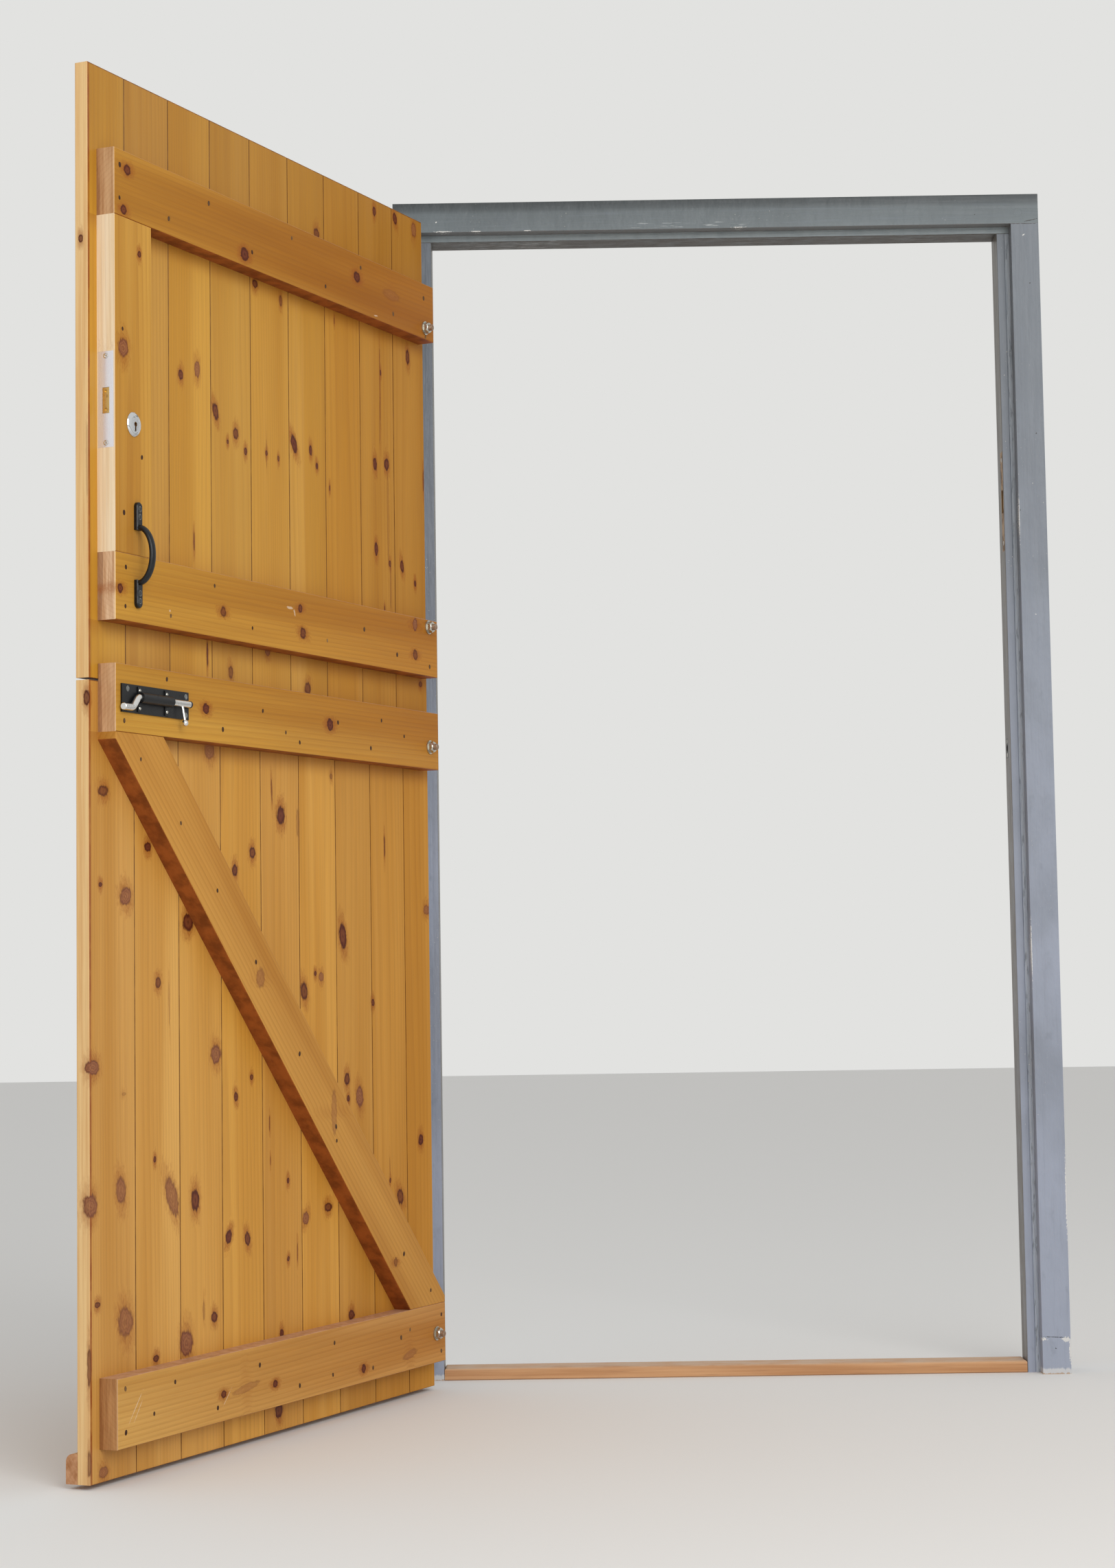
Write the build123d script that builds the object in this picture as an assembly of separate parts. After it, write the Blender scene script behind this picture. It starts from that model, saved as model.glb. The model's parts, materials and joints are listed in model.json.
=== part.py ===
from build123d import *
import os
from math import cos, radians, sin

# Dutch stable door: two ledged leaves, one above the other, hung on hook and band hinges in
# a rebated frame. All sizes are in millimetres. The door is built closed and then swung open.
# X runs along the wall from the hinge side to the lock side, Y runs from outside to inside,
# Z is up. The origin is on the floor, under the threshold bar, in the middle of the frame.

# Driving dimensions of the frame
OPENING_WIDTH = 1037.0
JAMB_WIDTH = 48.0
FRAME_DEPTH = 84.0
HEAD_HEIGHT = 52.0
HEAD_GAP = 3.0
FOOT_GAP = 7.0
REBATE_DEPTH = 27.0
HINGE_STOP_WIDTH = 18.0
LOCK_STOP_WIDTH = 14.0
LATH_WIDTH = 8.0
LATH_SET_BACK = 0.6
HEAD_STOP_HEIGHT = 12.0
STOP_CHAMFER = 1.0
TENON_THICKNESS = 16.0
TENON_HEIGHT = 38.0
TENON_SHOULDER = 3.0
TENON_END_CLEARANCE = 0.3
JOINT_CLEARANCE = 0.08
PEG_RADIUS = 7.5
PEG_LENGTH = 60.0
PEG_SET_BACK = 12.0
PEG_RISE = 19.0
THRESHOLD_HEIGHT = 20.0
THRESHOLD_DEPTH = FRAME_DEPTH - REBATE_DEPTH
THRESHOLD_ROUNDING = 4.0

# Driving dimensions of the leaves
EDGE_GAP = 3.0
STOP_GAP = 0.5
LOWER_LEAF_HEIGHT = 1102.0
UPPER_LEAF_HEIGHT = 876.0
LEAF_JOINT_GAP = 3.0
BOARD_THICKNESS = 21.0
BOARD_COUNT = 9
BOARD_JOINT_GAP = 0.8
UPPER_LOCK_BOARD = 94.0
UPPER_HINGE_BOARD = 111.0
LOWER_LOCK_BOARD = 115.0
TONGUE_THICKNESS = 6.0
TONGUE_LENGTH = 7.0
TONGUE_CLEARANCE = 0.3
V_JOINT = 3.0
BOARD_EASING = 0.6
LEDGE_WIDTH = 96.0
LEDGE_THICKNESS = 30.0
LEDGE_ROUNDING = 1.8
LEDGE_HINGE_SET_BACK = 16.5
LEDGE_STOP_CLEARANCE = 4.0
UPPER_TOP_LEDGE_DROP = 121.0
UPPER_BOTTOM_LEDGE_RISE = 82.0
LOWER_TOP_LEDGE_PROUD = 24.0
LOWER_TOP_LEDGE_RELIEF = 0.6
LOWER_BOTTOM_LEDGE_RISE = 45.0
BRACE_WIDTH = 96.0
BRACE_END_CUT = 11.0
BLOCK_WIDTH = 96.0
WEATHERBOARD_HEIGHT = 41.0
WEATHERBOARD_THICKNESS = 18.5
WEATHERBOARD_ROUNDING = 11.0

# Driving dimensions of the hinges
PIN_SET_OVER = 30.3
PIN_STAND_OFF = 28.2
PIN_RADIUS = 8.0
PIN_CLEARANCE = 0.08
PIN_PROUD = 5.0
SHOULDER_CLEARANCE = 0.3
BAND_WIDTH = 40.0
BAND_TIP_WIDTH = 30.0
BAND_THICKNESS = 6.0
BAND_REACH_SHARE = 0.4365
BAND_BEND_RADIUS = 9.0
CRANK_START = 27.0
CRANK_RUN = 21.0
HOOK_PLATE_WIDTH = 40.0
HOOK_PLATE_HEIGHT = 86.0
HOOK_PLATE_THICKNESS = 6.0
HOOK_PLATE_SET_OVER = 26.0
HOOK_SCREW_INSET = 9.0
HINGE_OFFSETS = {
    "upper_top": -29.0,
    "upper_bottom": 35.0,
    "lower_top": -11.0,
    "lower_bottom": 0.0,
}
COACH_BOLT_SET_IN = 50.0
COACH_BOLT_RADIUS = 5.0
COACH_BOLT_CLEARANCE = 0.25
COACH_BOLT_PROUD = 5.0
COACH_HEAD_RADIUS = 11.0
COACH_HEAD_HEIGHT = 5.5
NUT_ACROSS_FLATS = 17.0
NUT_HEIGHT = 8.0
NUT_CONE_FOOT_SHARE = 0.75
NUT_CONE_TOP_SHARE = 0.46
WASHER_RADIUS = 11.5
WASHER_THICKNESS = 2.0
BAND_SCREW_COUNT = 3

# Driving dimensions of the fixings
SCREW_CLEARANCE = 0.05
HEAVY_SCREW = {"head": 5.0, "shank": 2.6, "length": 38.0, "cone": 2.8}
LIGHT_SCREW = {"head": 4.0, "shank": 1.9, "length": 24.0, "cone": 2.2}

# Driving dimensions of the mortice lock
LOCK_RISE = 216.0
LOCK_CENTRE_IN = 14.5
FOREND_WIDTH = 26.0
FOREND_HEIGHT = 137.0
FOREND_THICKNESS = 3.0
FOREND_SCREW_INSET = 13.0
CASE_DEPTH = 64.0
CASE_HEIGHT = 108.0
CASE_THICKNESS = 14.0
CASE_WALL = 1.2
CASE_CLEARANCE = 0.2
DEADBOLT_THICKNESS = 11.0
DEADBOLT_HEIGHT = 36.5
DEADBOLT_LENGTH = 46.0
DEADBOLT_DROP = 1.5
DEADBOLT_THROW = 14.0
DEADBOLT_RECESS = 0.4
BOLT_SLOT_CLEARANCE = 0.3
ROLLER_RADIUS = 2.2
ROLLER_PITCH = 26.0
KEYHOLE_DROP = 30.0
KEYHOLE_BACKSET = 46.5
KEYHOLE_RADIUS = 3.6
KEYHOLE_SLOT_WIDTH = 3.4
KEYHOLE_SLOT_LENGTH = 11.0
ESCUTCHEON_RADIUS = 17.5
ESCUTCHEON_HEIGHT = 4.2
ESCUTCHEON_RIM_SHARE = 0.3
ESCUTCHEON_SHOULDER_SHARES = (0.82, 0.9)
ESCUTCHEON_FLAT_SHARE = 0.55
KEEP_HEIGHT = 175.0
KEEP_WIDTH = 24.0
KEEP_THICKNESS = 2.0
KEEP_WALL = 1.5
KEEP_CLEARANCE = 2.0
KEEP_DEPTH = DEADBOLT_THROW + 3.0
KEEP_SCREW_INSET = 14.0
KEEP_SCREW_END_CLEARANCE = 0.3

# Driving dimensions of the pull handle
HANDLE_SET_IN = 54.5
HANDLE_LENGTH = 151.0
HANDLE_PAD_LENGTH = 40.0
HANDLE_PAD_WIDTH = 14.0
HANDLE_PAD_THICKNESS = 6.0
HANDLE_REACH = 26.5
HANDLE_GRIP_WIDTH = 12.0
HANDLE_GRIP_THICKNESS = 8.0
HANDLE_SCREW_PITCH = 11.0
HANDLE_SCREW_INSET = 10.0
HANDLE_ROUNDING = 1.5

# Driving dimensions of the necked bolt
PLATE_LENGTH = 176.0
PLATE_HEIGHT = 40.0
PLATE_THICKNESS = 2.5
PLATE_SET_IN = 11.5
ROD_RADIUS = 5.0
ROD_CLEARANCE = 0.3
ROD_RISE = 2.0
ROD_NECK_DROP = 15.0
ROD_NECK_RUN = 14.0
ROD_BEND_RADIUS = 9.0
ROD_TIP_PAST_PLATE = 5.0
ROD_TIP_LENGTH = 24.0
ROD_TRAVEL = 24.0
ROD_END_CHAMFER = 0.8
BARREL_LENGTH = 81.0
BARREL_SET_IN = 39.0
BARREL_WALL = 2.2
BARREL_FOOT_LENGTH = 10.0
BARREL_FOOT_REACH = 18.0
BARREL_FOOT_THICKNESS = 1.6
KNOB_GAP = 26.0
KNOB_STEM_RADIUS = 2.3
KNOB_STEM_LENGTH = 29.0
KNOB_RADIUS = 4.8
KNOB_LEAN = 11.0
END_LUG_THICKNESS = 3.0
END_LUG_INSET = 5.0
END_LUG_RADIUS = 5.2
PLATE_SCREW_END_INSET = 7.5
PLATE_SCREW_EDGE_INSET = 6.5
RIVET_RADIUS = 2.6
RIVET_HEIGHT = 1.4
BOLT_KEEP_SIZE = 34.0
BOLT_KEEP_THICKNESS = 2.0
BOLT_KEEP_CLEARANCE = 1.0
BOLT_KEEP_SCREW_INSET = 5.0

# The angle at which the leaves stand open
OPEN_ANGLE = 114.6

# Levels and planes worked out from the driving dimensions
LEAF_WIDTH = OPENING_WIDTH - 2 * EDGE_GAP
BOARD_COVER = (LEAF_WIDTH - UPPER_LOCK_BOARD - UPPER_HINGE_BOARD) / (BOARD_COUNT - 2)
BAND_REACH = LEAF_WIDTH * BAND_REACH_SHARE
FRONT = -FRAME_DEPTH / 2
BACK = FRAME_DEPTH / 2
HINGE_REBATE = -OPENING_WIDTH / 2
LOCK_REBATE = OPENING_WIDTH / 2
STOP_FACE = FRONT + REBATE_DEPTH
LATH_SEAM = LOCK_REBATE - LATH_WIDTH
LOCK_STOP_RETURN = LATH_SEAM - LOCK_STOP_WIDTH
LEAF_HINGE_EDGE = HINGE_REBATE + EDGE_GAP
LEAF_LOCK_EDGE = LOCK_REBATE - EDGE_GAP
BOARD_INSIDE = STOP_FACE - STOP_GAP
BOARD_OUTSIDE = BOARD_INSIDE - BOARD_THICKNESS
LEDGE_INSIDE = BOARD_INSIDE + LEDGE_THICKNESS
LOWER_BOTTOM = FOOT_GAP
LOWER_TOP = LOWER_BOTTOM + LOWER_LEAF_HEIGHT
UPPER_BOTTOM = LOWER_TOP + LEAF_JOINT_GAP
UPPER_TOP = UPPER_BOTTOM + UPPER_LEAF_HEIGHT
HEAD_UNDERSIDE = UPPER_TOP + HEAD_GAP
LEDGE_HINGE_END = LEAF_HINGE_EDGE + LEDGE_HINGE_SET_BACK
LEDGE_LOCK_END = LOCK_STOP_RETURN - LEDGE_STOP_CLEARANCE
LEDGE_BOTTOMS = {
    "upper_top": UPPER_TOP - UPPER_TOP_LEDGE_DROP - LEDGE_WIDTH,
    "upper_bottom": UPPER_BOTTOM + UPPER_BOTTOM_LEDGE_RISE,
    "lower_top": LOWER_TOP + LOWER_TOP_LEDGE_PROUD - LEDGE_WIDTH,
    "lower_bottom": LOWER_BOTTOM + LOWER_BOTTOM_LEDGE_RISE,
}
HINGE_HEIGHTS = {
    name: LEDGE_BOTTOMS[name] + LEDGE_WIDTH / 2 + offset
    for name, offset in HINGE_OFFSETS.items()
}
PIN_X = HINGE_REBATE - PIN_SET_OVER
PIN_Y = FRONT - PIN_STAND_OFF
EYE_RADIUS = PIN_RADIUS + PIN_CLEARANCE
HOOK_SHANK_DROP = BAND_WIDTH / 2 + SHOULDER_CLEARANCE + PIN_RADIUS
COACH_BOLT_X = LEAF_HINGE_EDGE + COACH_BOLT_SET_IN
BLOCK_BOTTOM = LEDGE_BOTTOMS["upper_bottom"] + LEDGE_WIDTH
BLOCK_TOP = LEDGE_BOTTOMS["upper_top"]
LOCK_Z = BLOCK_BOTTOM + LOCK_RISE
LOCK_Y = BOARD_INSIDE + LOCK_CENTRE_IN
DEADBOLT_Z = LOCK_Z - DEADBOLT_DROP
KEYHOLE_X = LEDGE_LOCK_END - KEYHOLE_BACKSET
KEYHOLE_Z = LOCK_Z - KEYHOLE_DROP
HANDLE_X = LEDGE_LOCK_END - HANDLE_SET_IN
HANDLE_Z = BLOCK_BOTTOM
PLATE_LOCK_END = LEDGE_LOCK_END - PLATE_SET_IN
PLATE_HINGE_END = PLATE_LOCK_END - PLATE_LENGTH
PLATE_Z = LEDGE_BOTTOMS["lower_top"] + LEDGE_WIDTH / 2
PLATE_FACE = LEDGE_INSIDE + PLATE_THICKNESS
ROD_Y = PLATE_FACE + ROD_RADIUS + ROD_CLEARANCE
ROD_Z = PLATE_Z + ROD_RISE
ROD_TIP_END = PLATE_LOCK_END + ROD_TIP_PAST_PLATE
ROD_TIP_Z = ROD_Z - ROD_NECK_DROP
BARREL_LOCK_END = PLATE_LOCK_END - BARREL_SET_IN
BARREL_HINGE_END = BARREL_LOCK_END - BARREL_LENGTH
KNOB_X = BARREL_HINGE_END - KNOB_GAP - KNOB_STEM_RADIUS
ROD_HINGE_END = PLATE_HINGE_END + END_LUG_INSET + END_LUG_THICKNESS + ROD_CLEARANCE
KEEP_SCREW_LENGTH = LOCK_STOP_WIDTH + LATH_WIDTH - KEEP_SCREW_END_CLEARANCE
KEEP_SCREW = {**LIGHT_SCREW, "length": KEEP_SCREW_LENGTH}

nodes = {}


def keep(name, solids):
    """File a node under its name; a list becomes a group of separate solids."""
    nodes[name] = Compound(list(solids)) if isinstance(solids, (list, tuple)) else solids


def slab(x0, x1, y0, y1, z0, z1):
    """A rectangular piece between two corners."""
    size = (x1 - x0, y1 - y0, z1 - z0)
    centre = ((x0 + x1) / 2, (y0 + y1) / 2, (z0 + z1) / 2)
    return Pos(*centre) * Box(*size)


def rod(radius, start, end):
    """A round bar from one point to another."""
    line = Vector(*end) - Vector(*start)
    return extrude(Plane(origin=start, z_dir=line) * Circle(radius), line.length)


def along_x(profile, x0, x1):
    """Carry a closed Y, Z outline along X."""
    face = make_face(Plane.YZ * Polyline(*profile, close=True))
    return Pos(x0, 0, 0) * extrude(face, x1 - x0, dir=(1, 0, 0))


def swing(shape, angle):
    """Turn a piece of a leaf about the hinge pins; a positive angle opens it outwards."""
    return shape.rotate(Axis((PIN_X, PIN_Y, 0), (0, 0, -1)), angle)


def countersunk(size, point, inward, clearance=0.0):
    """A wood screw with a countersunk head, its head flush at the point."""
    head = size["head"] + clearance
    shank = size["shank"] + clearance
    cone = size["cone"]
    seat = Plane(origin=point, z_dir=inward)
    profile = Polyline(
        (0, 0), (head, 0), (shank, cone), (shank, size["length"]), (0, size["length"]), close=True
    )
    turned = revolve(make_face(Plane.XZ * profile), Axis.Z)
    return seat.location * turned


def domed_head(radius, height):
    """The slice of a ball that makes a domed head, its flat side on the XY plane."""
    ball_radius = (radius * radius + height * height) / (2 * height)
    ball = Pos(0, 0, height - ball_radius) * Sphere(ball_radius)
    return ball & slab(-radius, radius, -radius, radius, 0, height)


def bored(piece, cutters):
    """The piece with each cutter taken out of it."""
    for cutter in cutters:
        piece = piece - cutter
    return piece


def jamb(rebate, outward):
    """One side post with its tenon into the head; outward is -1 or 1."""
    post = slab(*sorted((rebate, rebate + outward * JAMB_WIDTH)), FRONT, BACK, 0, HEAD_UNDERSIDE)
    near = rebate + outward * TENON_SHOULDER
    far = rebate + outward * (JAMB_WIDTH - TENON_SHOULDER)
    half = TENON_THICKNESS / 2
    tongue = slab(*sorted((near, far)), -half, half, HEAD_UNDERSIDE, HEAD_UNDERSIDE + TENON_HEIGHT)
    return post + tongue - peg(rebate, outward, JOINT_CLEARANCE)


def peg(rebate, outward, clearance=0.0):
    """The oak pin through a corner joint, flush with the front of the head."""
    x = rebate + outward * PEG_SET_BACK
    z = HEAD_UNDERSIDE + PEG_RISE
    return rod(PEG_RADIUS + clearance, (x, FRONT, z), (x, FRONT + PEG_LENGTH, z))


def head():
    """The top rail, mortised for both posts."""
    rail = slab(
        HINGE_REBATE - JAMB_WIDTH,
        LOCK_REBATE + JAMB_WIDTH,
        FRONT,
        BACK,
        HEAD_UNDERSIDE,
        HEAD_UNDERSIDE + HEAD_HEIGHT,
    )
    half = TENON_THICKNESS / 2 + JOINT_CLEARANCE
    for rebate, outward in ((HINGE_REBATE, -1), (LOCK_REBATE, 1)):
        near = rebate + outward * (TENON_SHOULDER - JOINT_CLEARANCE)
        far = rebate + outward * (JAMB_WIDTH - TENON_SHOULDER + JOINT_CLEARANCE)
        top = HEAD_UNDERSIDE + TENON_HEIGHT + TENON_END_CLEARANCE
        rail -= slab(*sorted((near, far)), -half, half, HEAD_UNDERSIDE, top)
        rail -= peg(rebate, outward, JOINT_CLEARANCE)
    return rail


def stop_lath(x0, x1, front, chamfered):
    """A planted stop against a jamb, with the listed front corners taken off."""
    lath = slab(x0, x1, front, BACK, 0, HEAD_UNDERSIDE - HEAD_STOP_HEIGHT)
    edges = [
        edge
        for edge in lath.edges().filter_by(Axis.Z)
        if abs(edge.center().Y - front) < STOP_CHAMFER / 2
        and min(abs(edge.center().X - x) for x in chamfered) < STOP_CHAMFER / 2
    ]
    return chamfer(edges, STOP_CHAMFER)


def threshold_bar():
    """The bare timber bar between the stops, its top arrises rounded."""
    bar = slab(
        HINGE_REBATE + HINGE_STOP_WIDTH + STOP_GAP,
        LOCK_STOP_RETURN - STOP_GAP,
        STOP_FACE,
        STOP_FACE + THRESHOLD_DEPTH,
        0,
        THRESHOLD_HEIGHT,
    )
    return fillet(bar.faces().sort_by(Axis.Z)[-1].edges(), THRESHOLD_ROUNDING)


def edge_block(x0, x1, width, height, middle=LOCK_Z, clearance=0.0):
    """A block of a stated width and height, centred on the line of the lock."""
    half_y = width / 2 + clearance
    half_z = height / 2 + clearance
    return slab(x0, x1, LOCK_Y - half_y, LOCK_Y + half_y, middle - half_z, middle + half_z)


def deadbolt_pocket(clearance, depth):
    """The space that the thrown deadbolt fills beyond the stop's return face."""
    far = LOCK_STOP_RETURN + depth
    return edge_block(LOCK_STOP_RETURN, far, DEADBOLT_THICKNESS, DEADBOLT_HEIGHT, DEADBOLT_Z, clearance)


def lock_keep_plate(clearance=0.0):
    """The outer plate of the box keep."""
    far = LOCK_STOP_RETURN + KEEP_THICKNESS + clearance
    return edge_block(LOCK_STOP_RETURN, far, KEEP_WIDTH, KEEP_HEIGHT, DEADBOLT_Z, clearance)


def keep_screws(clearance=0.0):
    """Two screws through the ends of the box keep."""
    reach = KEEP_HEIGHT / 2 - KEEP_SCREW_INSET
    points = [(LOCK_STOP_RETURN, LOCK_Y, DEADBOLT_Z + side * reach) for side in (-1, 1)]
    return [countersunk(KEEP_SCREW, point, (1, 0, 0), clearance) for point in points]


def lock_keep():
    """The box keep that the deadbolt shoots into, pressed from sheet."""
    box = lock_keep_plate() + deadbolt_pocket(KEEP_CLEARANCE + KEEP_WALL, KEEP_DEPTH)
    box -= deadbolt_pocket(KEEP_CLEARANCE, KEEP_DEPTH - KEEP_WALL)
    return bored(box, keep_screws(SCREW_CLEARANCE))


def keep_housing():
    """What is chopped out of the stop and lath for the box keep."""
    around = KEEP_CLEARANCE + KEEP_WALL + JOINT_CLEARANCE
    return lock_keep_plate(JOINT_CLEARANCE) + deadbolt_pocket(around, KEEP_DEPTH + JOINT_CLEARANCE)


def bolt_keep_plate(clearance=0.0):
    """The square plate that guards the hole for the necked bolt."""
    half = BOLT_KEEP_SIZE / 2 + clearance
    return slab(
        LOCK_STOP_RETURN,
        LOCK_STOP_RETURN + BOLT_KEEP_THICKNESS + clearance,
        ROD_Y - ROD_RADIUS - BOLT_KEEP_SCREW_INSET - clearance,
        ROD_Y + ROD_RADIUS + BOLT_KEEP_SCREW_INSET + clearance,
        ROD_TIP_Z - half,
        ROD_TIP_Z + half,
    )


def bolt_keep_hole():
    """The bore that the tip of the necked bolt enters."""
    end_x = ROD_TIP_END + ROD_TRAVEL + BOLT_KEEP_CLEARANCE
    start = (LOCK_STOP_RETURN, ROD_Y, ROD_TIP_Z)
    return rod(ROD_RADIUS + BOLT_KEEP_CLEARANCE, start, (end_x, ROD_Y, ROD_TIP_Z))


def bolt_keep_screws(clearance=0.0):
    """Two screws above and below the bore of the bolt keep."""
    reach = BOLT_KEEP_SIZE / 2 - BOLT_KEEP_SCREW_INSET
    points = [(LOCK_STOP_RETURN, ROD_Y, ROD_TIP_Z + side * reach) for side in (-1, 1)]
    return [countersunk(KEEP_SCREW, point, (1, 0, 0), clearance) for point in points]


def lock_stop_lengths(housings):
    """The lock side stop as five lengths, foot first: the second and fourth hold the keeps."""
    stop = stop_lath(LOCK_STOP_RETURN, LATH_SEAM, STOP_FACE, [LOCK_STOP_RETURN, LATH_SEAM])
    stop = bored(stop, housings)
    bolt_half = BOLT_KEEP_SIZE / 2 + JOINT_CLEARANCE
    keep_half = KEEP_HEIGHT / 2 + JOINT_CLEARANCE
    levels = [
        0,
        ROD_TIP_Z - bolt_half,
        ROD_TIP_Z + bolt_half,
        DEADBOLT_Z - keep_half,
        DEADBOLT_Z + keep_half,
        HEAD_UNDERSIDE - HEAD_STOP_HEIGHT,
    ]
    return [
        stop & slab(LOCK_STOP_RETURN, LATH_SEAM, STOP_FACE, BACK, low, high)
        for low, high in zip(levels, levels[1:])
    ]


def hook_screws(height, clearance=0.0):
    """Four screws through the corners of a hook plate."""
    middle = HINGE_REBATE - HOOK_PLATE_SET_OVER
    reach_x = HOOK_PLATE_WIDTH / 2 - HOOK_SCREW_INSET
    reach_z = HOOK_PLATE_HEIGHT / 2 - HOOK_SCREW_INSET
    front = FRONT - HOOK_PLATE_THICKNESS
    z = height - HOOK_SHANK_DROP
    points = [(middle + i * reach_x, front, z + k * reach_z) for i in (-1, 1) for k in (-1, 1)]
    return [countersunk(HEAVY_SCREW, point, (0, 1, 0), clearance) for point in points]


def hook(height):
    """A hook on a plate: the shank comes forward out of the plate and turns up as the pin.

    It is shaped at level zero and then lifted, so that every hook is the same piece.
    """
    middle = HINGE_REBATE - HOOK_PLATE_SET_OVER
    z = -HOOK_SHANK_DROP
    half_x = HOOK_PLATE_WIDTH / 2
    half_z = HOOK_PLATE_HEIGHT / 2
    front = FRONT - HOOK_PLATE_THICKNESS
    plate = slab(middle - half_x, middle + half_x, front, FRONT, z - half_z, z + half_z)
    shank = rod(PIN_RADIUS, (PIN_X, front, z), (PIN_X, PIN_Y, z))
    elbow = Pos(PIN_X, PIN_Y, z) * Sphere(PIN_RADIUS)
    pin = rod(PIN_RADIUS, (PIN_X, PIN_Y, z), (PIN_X, PIN_Y, BAND_WIDTH / 2 + PIN_PROUD))
    pin = chamfer(pin.edges().sort_by(Axis.Z)[-1], PIN_RADIUS / 4)
    return Pos(0, 0, height) * bored(plate + shank + elbow + pin, hook_screws(0, SCREW_CLEARANCE))


def band_screws(height, clearance=0.0):
    """The wood screws along a band, driven through the boards into the ledge."""
    return [
        countersunk(
            HEAVY_SCREW,
            (COACH_BOLT_X + (i + 1) * BOARD_COVER, BOARD_OUTSIDE - BAND_THICKNESS, height),
            (0, 1, 0),
            clearance,
        )
        for i in range(BAND_SCREW_COUNT)
    ]


def coach_bolt_hole(height):
    """The hole for a coach bolt through band, board and ledge."""
    start = (COACH_BOLT_X, BOARD_OUTSIDE - BAND_THICKNESS - 1, height)
    end = (COACH_BOLT_X, LEDGE_INSIDE + 1, height)
    return rod(COACH_BOLT_RADIUS + COACH_BOLT_CLEARANCE, start, end)


def band(height):
    """A cranked band: rolled eye round the pin, crank, and a long tapered strap with a round tip."""
    half = BAND_THICKNESS / 2
    near_y = PIN_Y + EYE_RADIUS + half
    far_y = BOARD_OUTSIDE - half
    tip_x = LEAF_HINGE_EDGE + BAND_REACH
    path = FilletPolyline(
        (PIN_X, near_y, height),
        (PIN_X + CRANK_START, near_y, height),
        (PIN_X + CRANK_START + CRANK_RUN, far_y, height),
        (tip_x, far_y, height),
        radius=BAND_BEND_RADIUS,
    )
    strap = sweep(Plane(origin=path @ 0, z_dir=path % 0) * Rectangle(BAND_WIDTH, BAND_THICKNESS), path=path)
    low, high = strap.bounding_box().min, strap.bounding_box().max
    if high.Z - low.Z < BAND_WIDTH - half:
        turned = Plane(origin=path @ 0, z_dir=path % 0) * Rectangle(BAND_THICKNESS, BAND_WIDTH)
        strap = sweep(turned, path=path)
    tip = BAND_TIP_WIDTH / 2
    wide = BAND_WIDTH / 2
    start_x = PIN_X - EYE_RADIUS - BAND_THICKNESS
    outline = Polyline(
        (start_x, height - wide),
        (COACH_BOLT_X, height - wide),
        (tip_x - tip, height - tip),
        (tip_x - tip, height + tip),
        (COACH_BOLT_X, height + wide),
        (start_x, height + wide),
        close=True,
    )
    depth = PIN_STAND_OFF + REBATE_DEPTH
    blank = extrude(make_face(Plane.XZ * outline), depth, both=True)
    blank += extrude(Plane.XZ * Pos(tip_x - tip, height) * Circle(tip), depth, both=True)
    strap = strap & (Pos(0, PIN_Y, 0) * blank)
    eye = rod(EYE_RADIUS + BAND_THICKNESS, (PIN_X, PIN_Y, height - wide), (PIN_X, PIN_Y, height + wide))
    bore = rod(EYE_RADIUS, (PIN_X, PIN_Y, height - wide), (PIN_X, PIN_Y, height + wide))
    return bored(strap + eye, [bore, coach_bolt_hole(height), *band_screws(height, SCREW_CLEARANCE)])


def coach_bolt(height):
    """A cup head coach bolt, its thread end standing proud of the nut."""
    face = BOARD_OUTSIDE - BAND_THICKNESS
    end = LEDGE_INSIDE + WASHER_THICKNESS + NUT_HEIGHT + COACH_BOLT_PROUD
    seat = Plane(origin=(COACH_BOLT_X, face, height), z_dir=(0, -1, 0))
    cup = seat.location * domed_head(COACH_HEAD_RADIUS, COACH_HEAD_HEIGHT)
    shank = rod(COACH_BOLT_RADIUS, (COACH_BOLT_X, face, height), (COACH_BOLT_X, end, height))
    return cup + shank


def nut_and_washer(height):
    """The washer and hexagon nut on a coach bolt, as two solids."""
    bore = coach_bolt_hole(height)
    seat = Plane(origin=(COACH_BOLT_X, LEDGE_INSIDE, height), z_dir=(0, 1, 0))
    washer = seat.location * extrude(Circle(WASHER_RADIUS), WASHER_THICKNESS)
    washer -= rod(
        COACH_BOLT_RADIUS + COACH_BOLT_CLEARANCE,
        (COACH_BOLT_X, LEDGE_INSIDE, height),
        (COACH_BOLT_X, LEDGE_INSIDE + WASHER_THICKNESS, height),
    )
    hexagon = RegularPolygon(NUT_ACROSS_FLATS / 2, 6, major_radius=False)
    nut = Pos(0, 0, WASHER_THICKNESS) * extrude(hexagon, NUT_HEIGHT)
    dome = Pos(0, 0, WASHER_THICKNESS) * Cone(
        NUT_ACROSS_FLATS * NUT_CONE_FOOT_SHARE,
        NUT_ACROSS_FLATS * NUT_CONE_TOP_SHARE,
        NUT_HEIGHT,
        align=(Align.CENTER, Align.CENTER, Align.MIN),
    )
    nut = seat.location * (nut & dome)
    nut -= rod(
        COACH_BOLT_RADIUS + COACH_BOLT_CLEARANCE,
        (COACH_BOLT_X, LEDGE_INSIDE, height),
        (COACH_BOLT_X, LEDGE_INSIDE + WASHER_THICKNESS + NUT_HEIGHT, height),
    )
    return [washer, nut]


def board_edges(lock_board):
    """Board joints from the lock edge to the hinge edge, each board a full cover but the end two."""
    edges = [LEAF_LOCK_EDGE, LEAF_LOCK_EDGE - lock_board]
    edges += [edges[-1] - BOARD_COVER * (i + 1) for i in range(BOARD_COUNT - 2)]
    return edges + [LEAF_HINGE_EDGE]


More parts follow.
